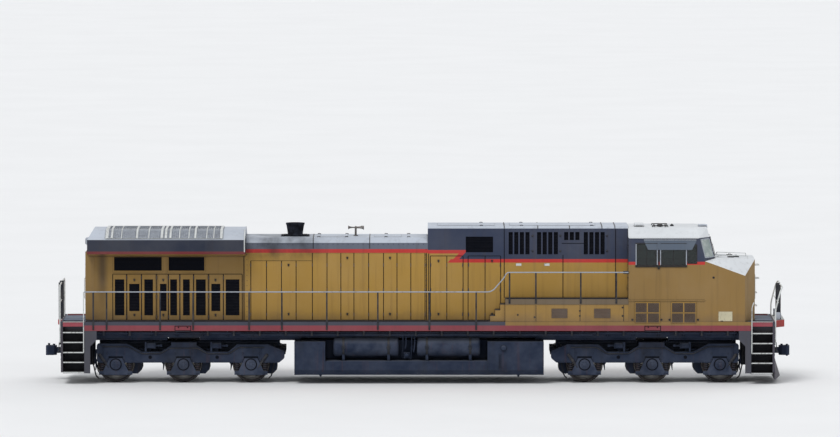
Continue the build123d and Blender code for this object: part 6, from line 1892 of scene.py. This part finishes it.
class MakeRearFittings(bpy.types.Operator):
    """Door, grab irons and vents on the rear of the radiator hood"""
    bl_idname = "locomotive.make_rear_fittings"
    bl_label = "Rear of the hood"

    def execute(self, context):
        pitch = context.scene.locomotive_sizes.slat_pitch
        x = RADIATOR_REAR
        panels, irons, vents = Shape(), Shape(), Shape()
        panels.box(about(x, 0.010), (-0.32, 0.32), (1.87, 3.46))
        for side in ((-0.70, -0.38), (0.38, 0.70)):
            panels.box((x - 0.006, x + 0.01), side, (1.90, 3.40))
        for y in (-0.54, 0.54):
            grown = pattern("slats").grown("dark", Width=0.24, Height=0.62, Pitch=pitch, Depth=0.018,
                                           Tilt=0.7)
            vents.merge(grown, standing((x - 0.008, y, 2.50), (0, -1, 0), (0, 0, 1)))
            vents.box((x - 0.008, x - 0.005), about(y, 0.13), (2.48, 3.14))
        for z in (2.20, 2.60, 3.00, 3.40, 3.78):
            irons.tube([(x + 0.06, 0.78, z), (x - 0.06, 0.80, z), (x - 0.06, 0.74, z), (x - 0.06, 0.42, z),
                        (x + 0.01, 0.42, z)], 0.010, 8, 0.02)
        staple(irons, (x + 0.01, -0.24, 2.45), (x + 0.01, -0.24, 3.05), (-0.06, 0, 0), 0.010, bend=0.02)
        finished("rear_panels", panels, "yellow", bevel=0.003)
        finished("rear_vents", vents, "dark")
        finished("rear_grab_irons", irons, "white")
        return {"FINISHED"}


# Camera: the picture is 25 m wide at the near side, seen from 220 m away and a little above
VIEW_DISTANCE = 220.0
VIEW_TILT = math.radians(3.8)
VIEW_TARGET = Vector((0.067, -1.56, 4.93 + RAIL_Z))
PICTURE_WIDTH = 25.0
SENSOR = 36.0
# Lamps of the stage: name, strength, angle across in degrees, direction they shine from
SUNS = (("Key", 1.5, 25.0, (-0.35, -0.55, 0.9)), ("Fill", 0.45, 60.0, (0.6, 0.7, 0.6)))
FLOOR_REACH = 2000.0


class SetStage(bpy.types.Operator):
    """Pale floor, soft light and the camera"""
    bl_idname = "locomotive.set_stage"
    bl_label = "Stage"

    def execute(self, context):
        scene = context.scene
        mesh = bpy.data.meshes.new("floor")
        corners = [(x * FLOOR_REACH, y * FLOOR_REACH, 0) for x, y in ((-1, -1), (1, -1), (1, 1), (-1, 1))]
        mesh.from_pydata(corners, [], [[0, 1, 2, 3]])
        floor = bpy.data.objects.new("floor", mesh)
        scene.collection.objects.link(floor)
        pale = Finish("Floor", (0.80, 0.80, 0.80), 0.9)
        pale.layer(pale.patches(0.2, 0.2, 0.9), (0.84, 0.84, 0.84))
        mesh.materials.append(pale.done())
        self.world(scene)
        for name, strength, angle, direction in SUNS:
            lamp = bpy.data.lights.new(name, "SUN")
            lamp.energy = strength
            lamp.angle = math.radians(angle)
            sun = bpy.data.objects.new(name, lamp)
            sun.rotation_euler = Vector(direction).to_track_quat("Z", "Y").to_euler()
            scene.collection.objects.link(sun)

        lens = bpy.data.cameras.new("Camera")
        lens.sensor_width = SENSOR
        lens.lens = SENSOR * VIEW_DISTANCE / PICTURE_WIDTH
        lens.clip_end = 5000.0
        camera = bpy.data.objects.new("Camera", lens)
        back = Vector((0, -math.cos(VIEW_TILT), math.sin(VIEW_TILT)))
        camera.location = VIEW_TARGET + back * VIEW_DISTANCE
        camera.rotation_euler = (-back).to_track_quat("-Z", "Y").to_euler()
        scene.collection.objects.link(camera)
        scene.camera = camera
        scene.view_settings.view_transform = "Standard"
        return {"FINISHED"}

    def world(self, scene):
        """Soft bluish light, behind a brighter backdrop that only the camera and mirrored rays meet."""
        world = bpy.data.worlds.new("Studio")
        world.use_nodes = True
        scene.world = world
        nodes, links = world.node_tree.nodes, world.node_tree.links
        light = nodes["Background"]
        light.inputs["Color"].default_value = (0.93, 0.96, 1.0, 1.0)
        light.inputs["Strength"].default_value = 0.62
        backdrop = nodes.new("ShaderNodeBackground")
        backdrop.inputs["Strength"].default_value = 1.0
        rays = nodes.new("ShaderNodeLightPath").outputs
        seen = rays["Is Camera Ray"]
        for key in ("Is Glossy Ray", "Is Transmission Ray"):
            total = nodes.new("ShaderNodeMath")
            total.operation = "MAXIMUM"
            links.new(seen, total.inputs[0])
            links.new(rays[key], total.inputs[1])
            seen = total.outputs[0]
        choice = nodes.new("ShaderNodeMixShader")
        for index, output in enumerate((seen, light.outputs[0], backdrop.outputs[0])):
            links.new(output, choice.inputs[index])
        links.new(choice.outputs[0], nodes["World Output"].inputs[0])


OPERATORS = (PaintBodywork, MakeWheelsets, MakeBearings, MakeTruckFittings, MakeTankFittings, MakeSillPipes,
             MakeGrilles, MakeRoofScreens, MakeDoorFittings, MakeRoofFittings, MakeCabFittings,
             MakeCabInside, MakeNoseFittings, MakeLamps, MakeHandrails, MakeSteps, MakeEndFittings,
             MakeRearFittings, SetStage)


class LocomotivePanel(bpy.types.Panel):
    """Buttons for the pieces, and the paint and sizes they use"""
    bl_idname = "VIEW3D_PT_locomotive"
    bl_label = "Diesel locomotive"
    bl_space_type = "VIEW_3D"
    bl_region_type = "UI"
    bl_category = "Locomotive"

    def draw(self, context):
        for settings in (context.scene.locomotive_paint, context.scene.locomotive_sizes):
            box = self.layout.box()
            for key in settings.__annotations__:
                box.prop(settings, key)
        for operator in OPERATORS:
            self.layout.operator(operator.bl_idname)


CLASSES = (LocomotivePaint, LocomotiveSizes) + OPERATORS + (LocomotivePanel,)


def register():
    """Register the classes and hang the settings on the scene."""
    for item in CLASSES:
        bpy.utils.register_class(item)
    bpy.types.Scene.locomotive_paint = bpy.props.PointerProperty(type=LocomotivePaint)
    bpy.types.Scene.locomotive_sizes = bpy.props.PointerProperty(type=LocomotiveSizes)


def unregister():
    """Take the settings and the classes away again."""
    del bpy.types.Scene.locomotive_paint
    del bpy.types.Scene.locomotive_sizes
    for item in reversed(CLASSES):
        bpy.utils.unregister_class(item)


def main():
    """Make every piece in order."""
    register()
    for operator in OPERATORS:
        group, name = operator.bl_idname.split(".")
        getattr(getattr(bpy.ops, group), name)()


if __name__ == "__main__":
    main()
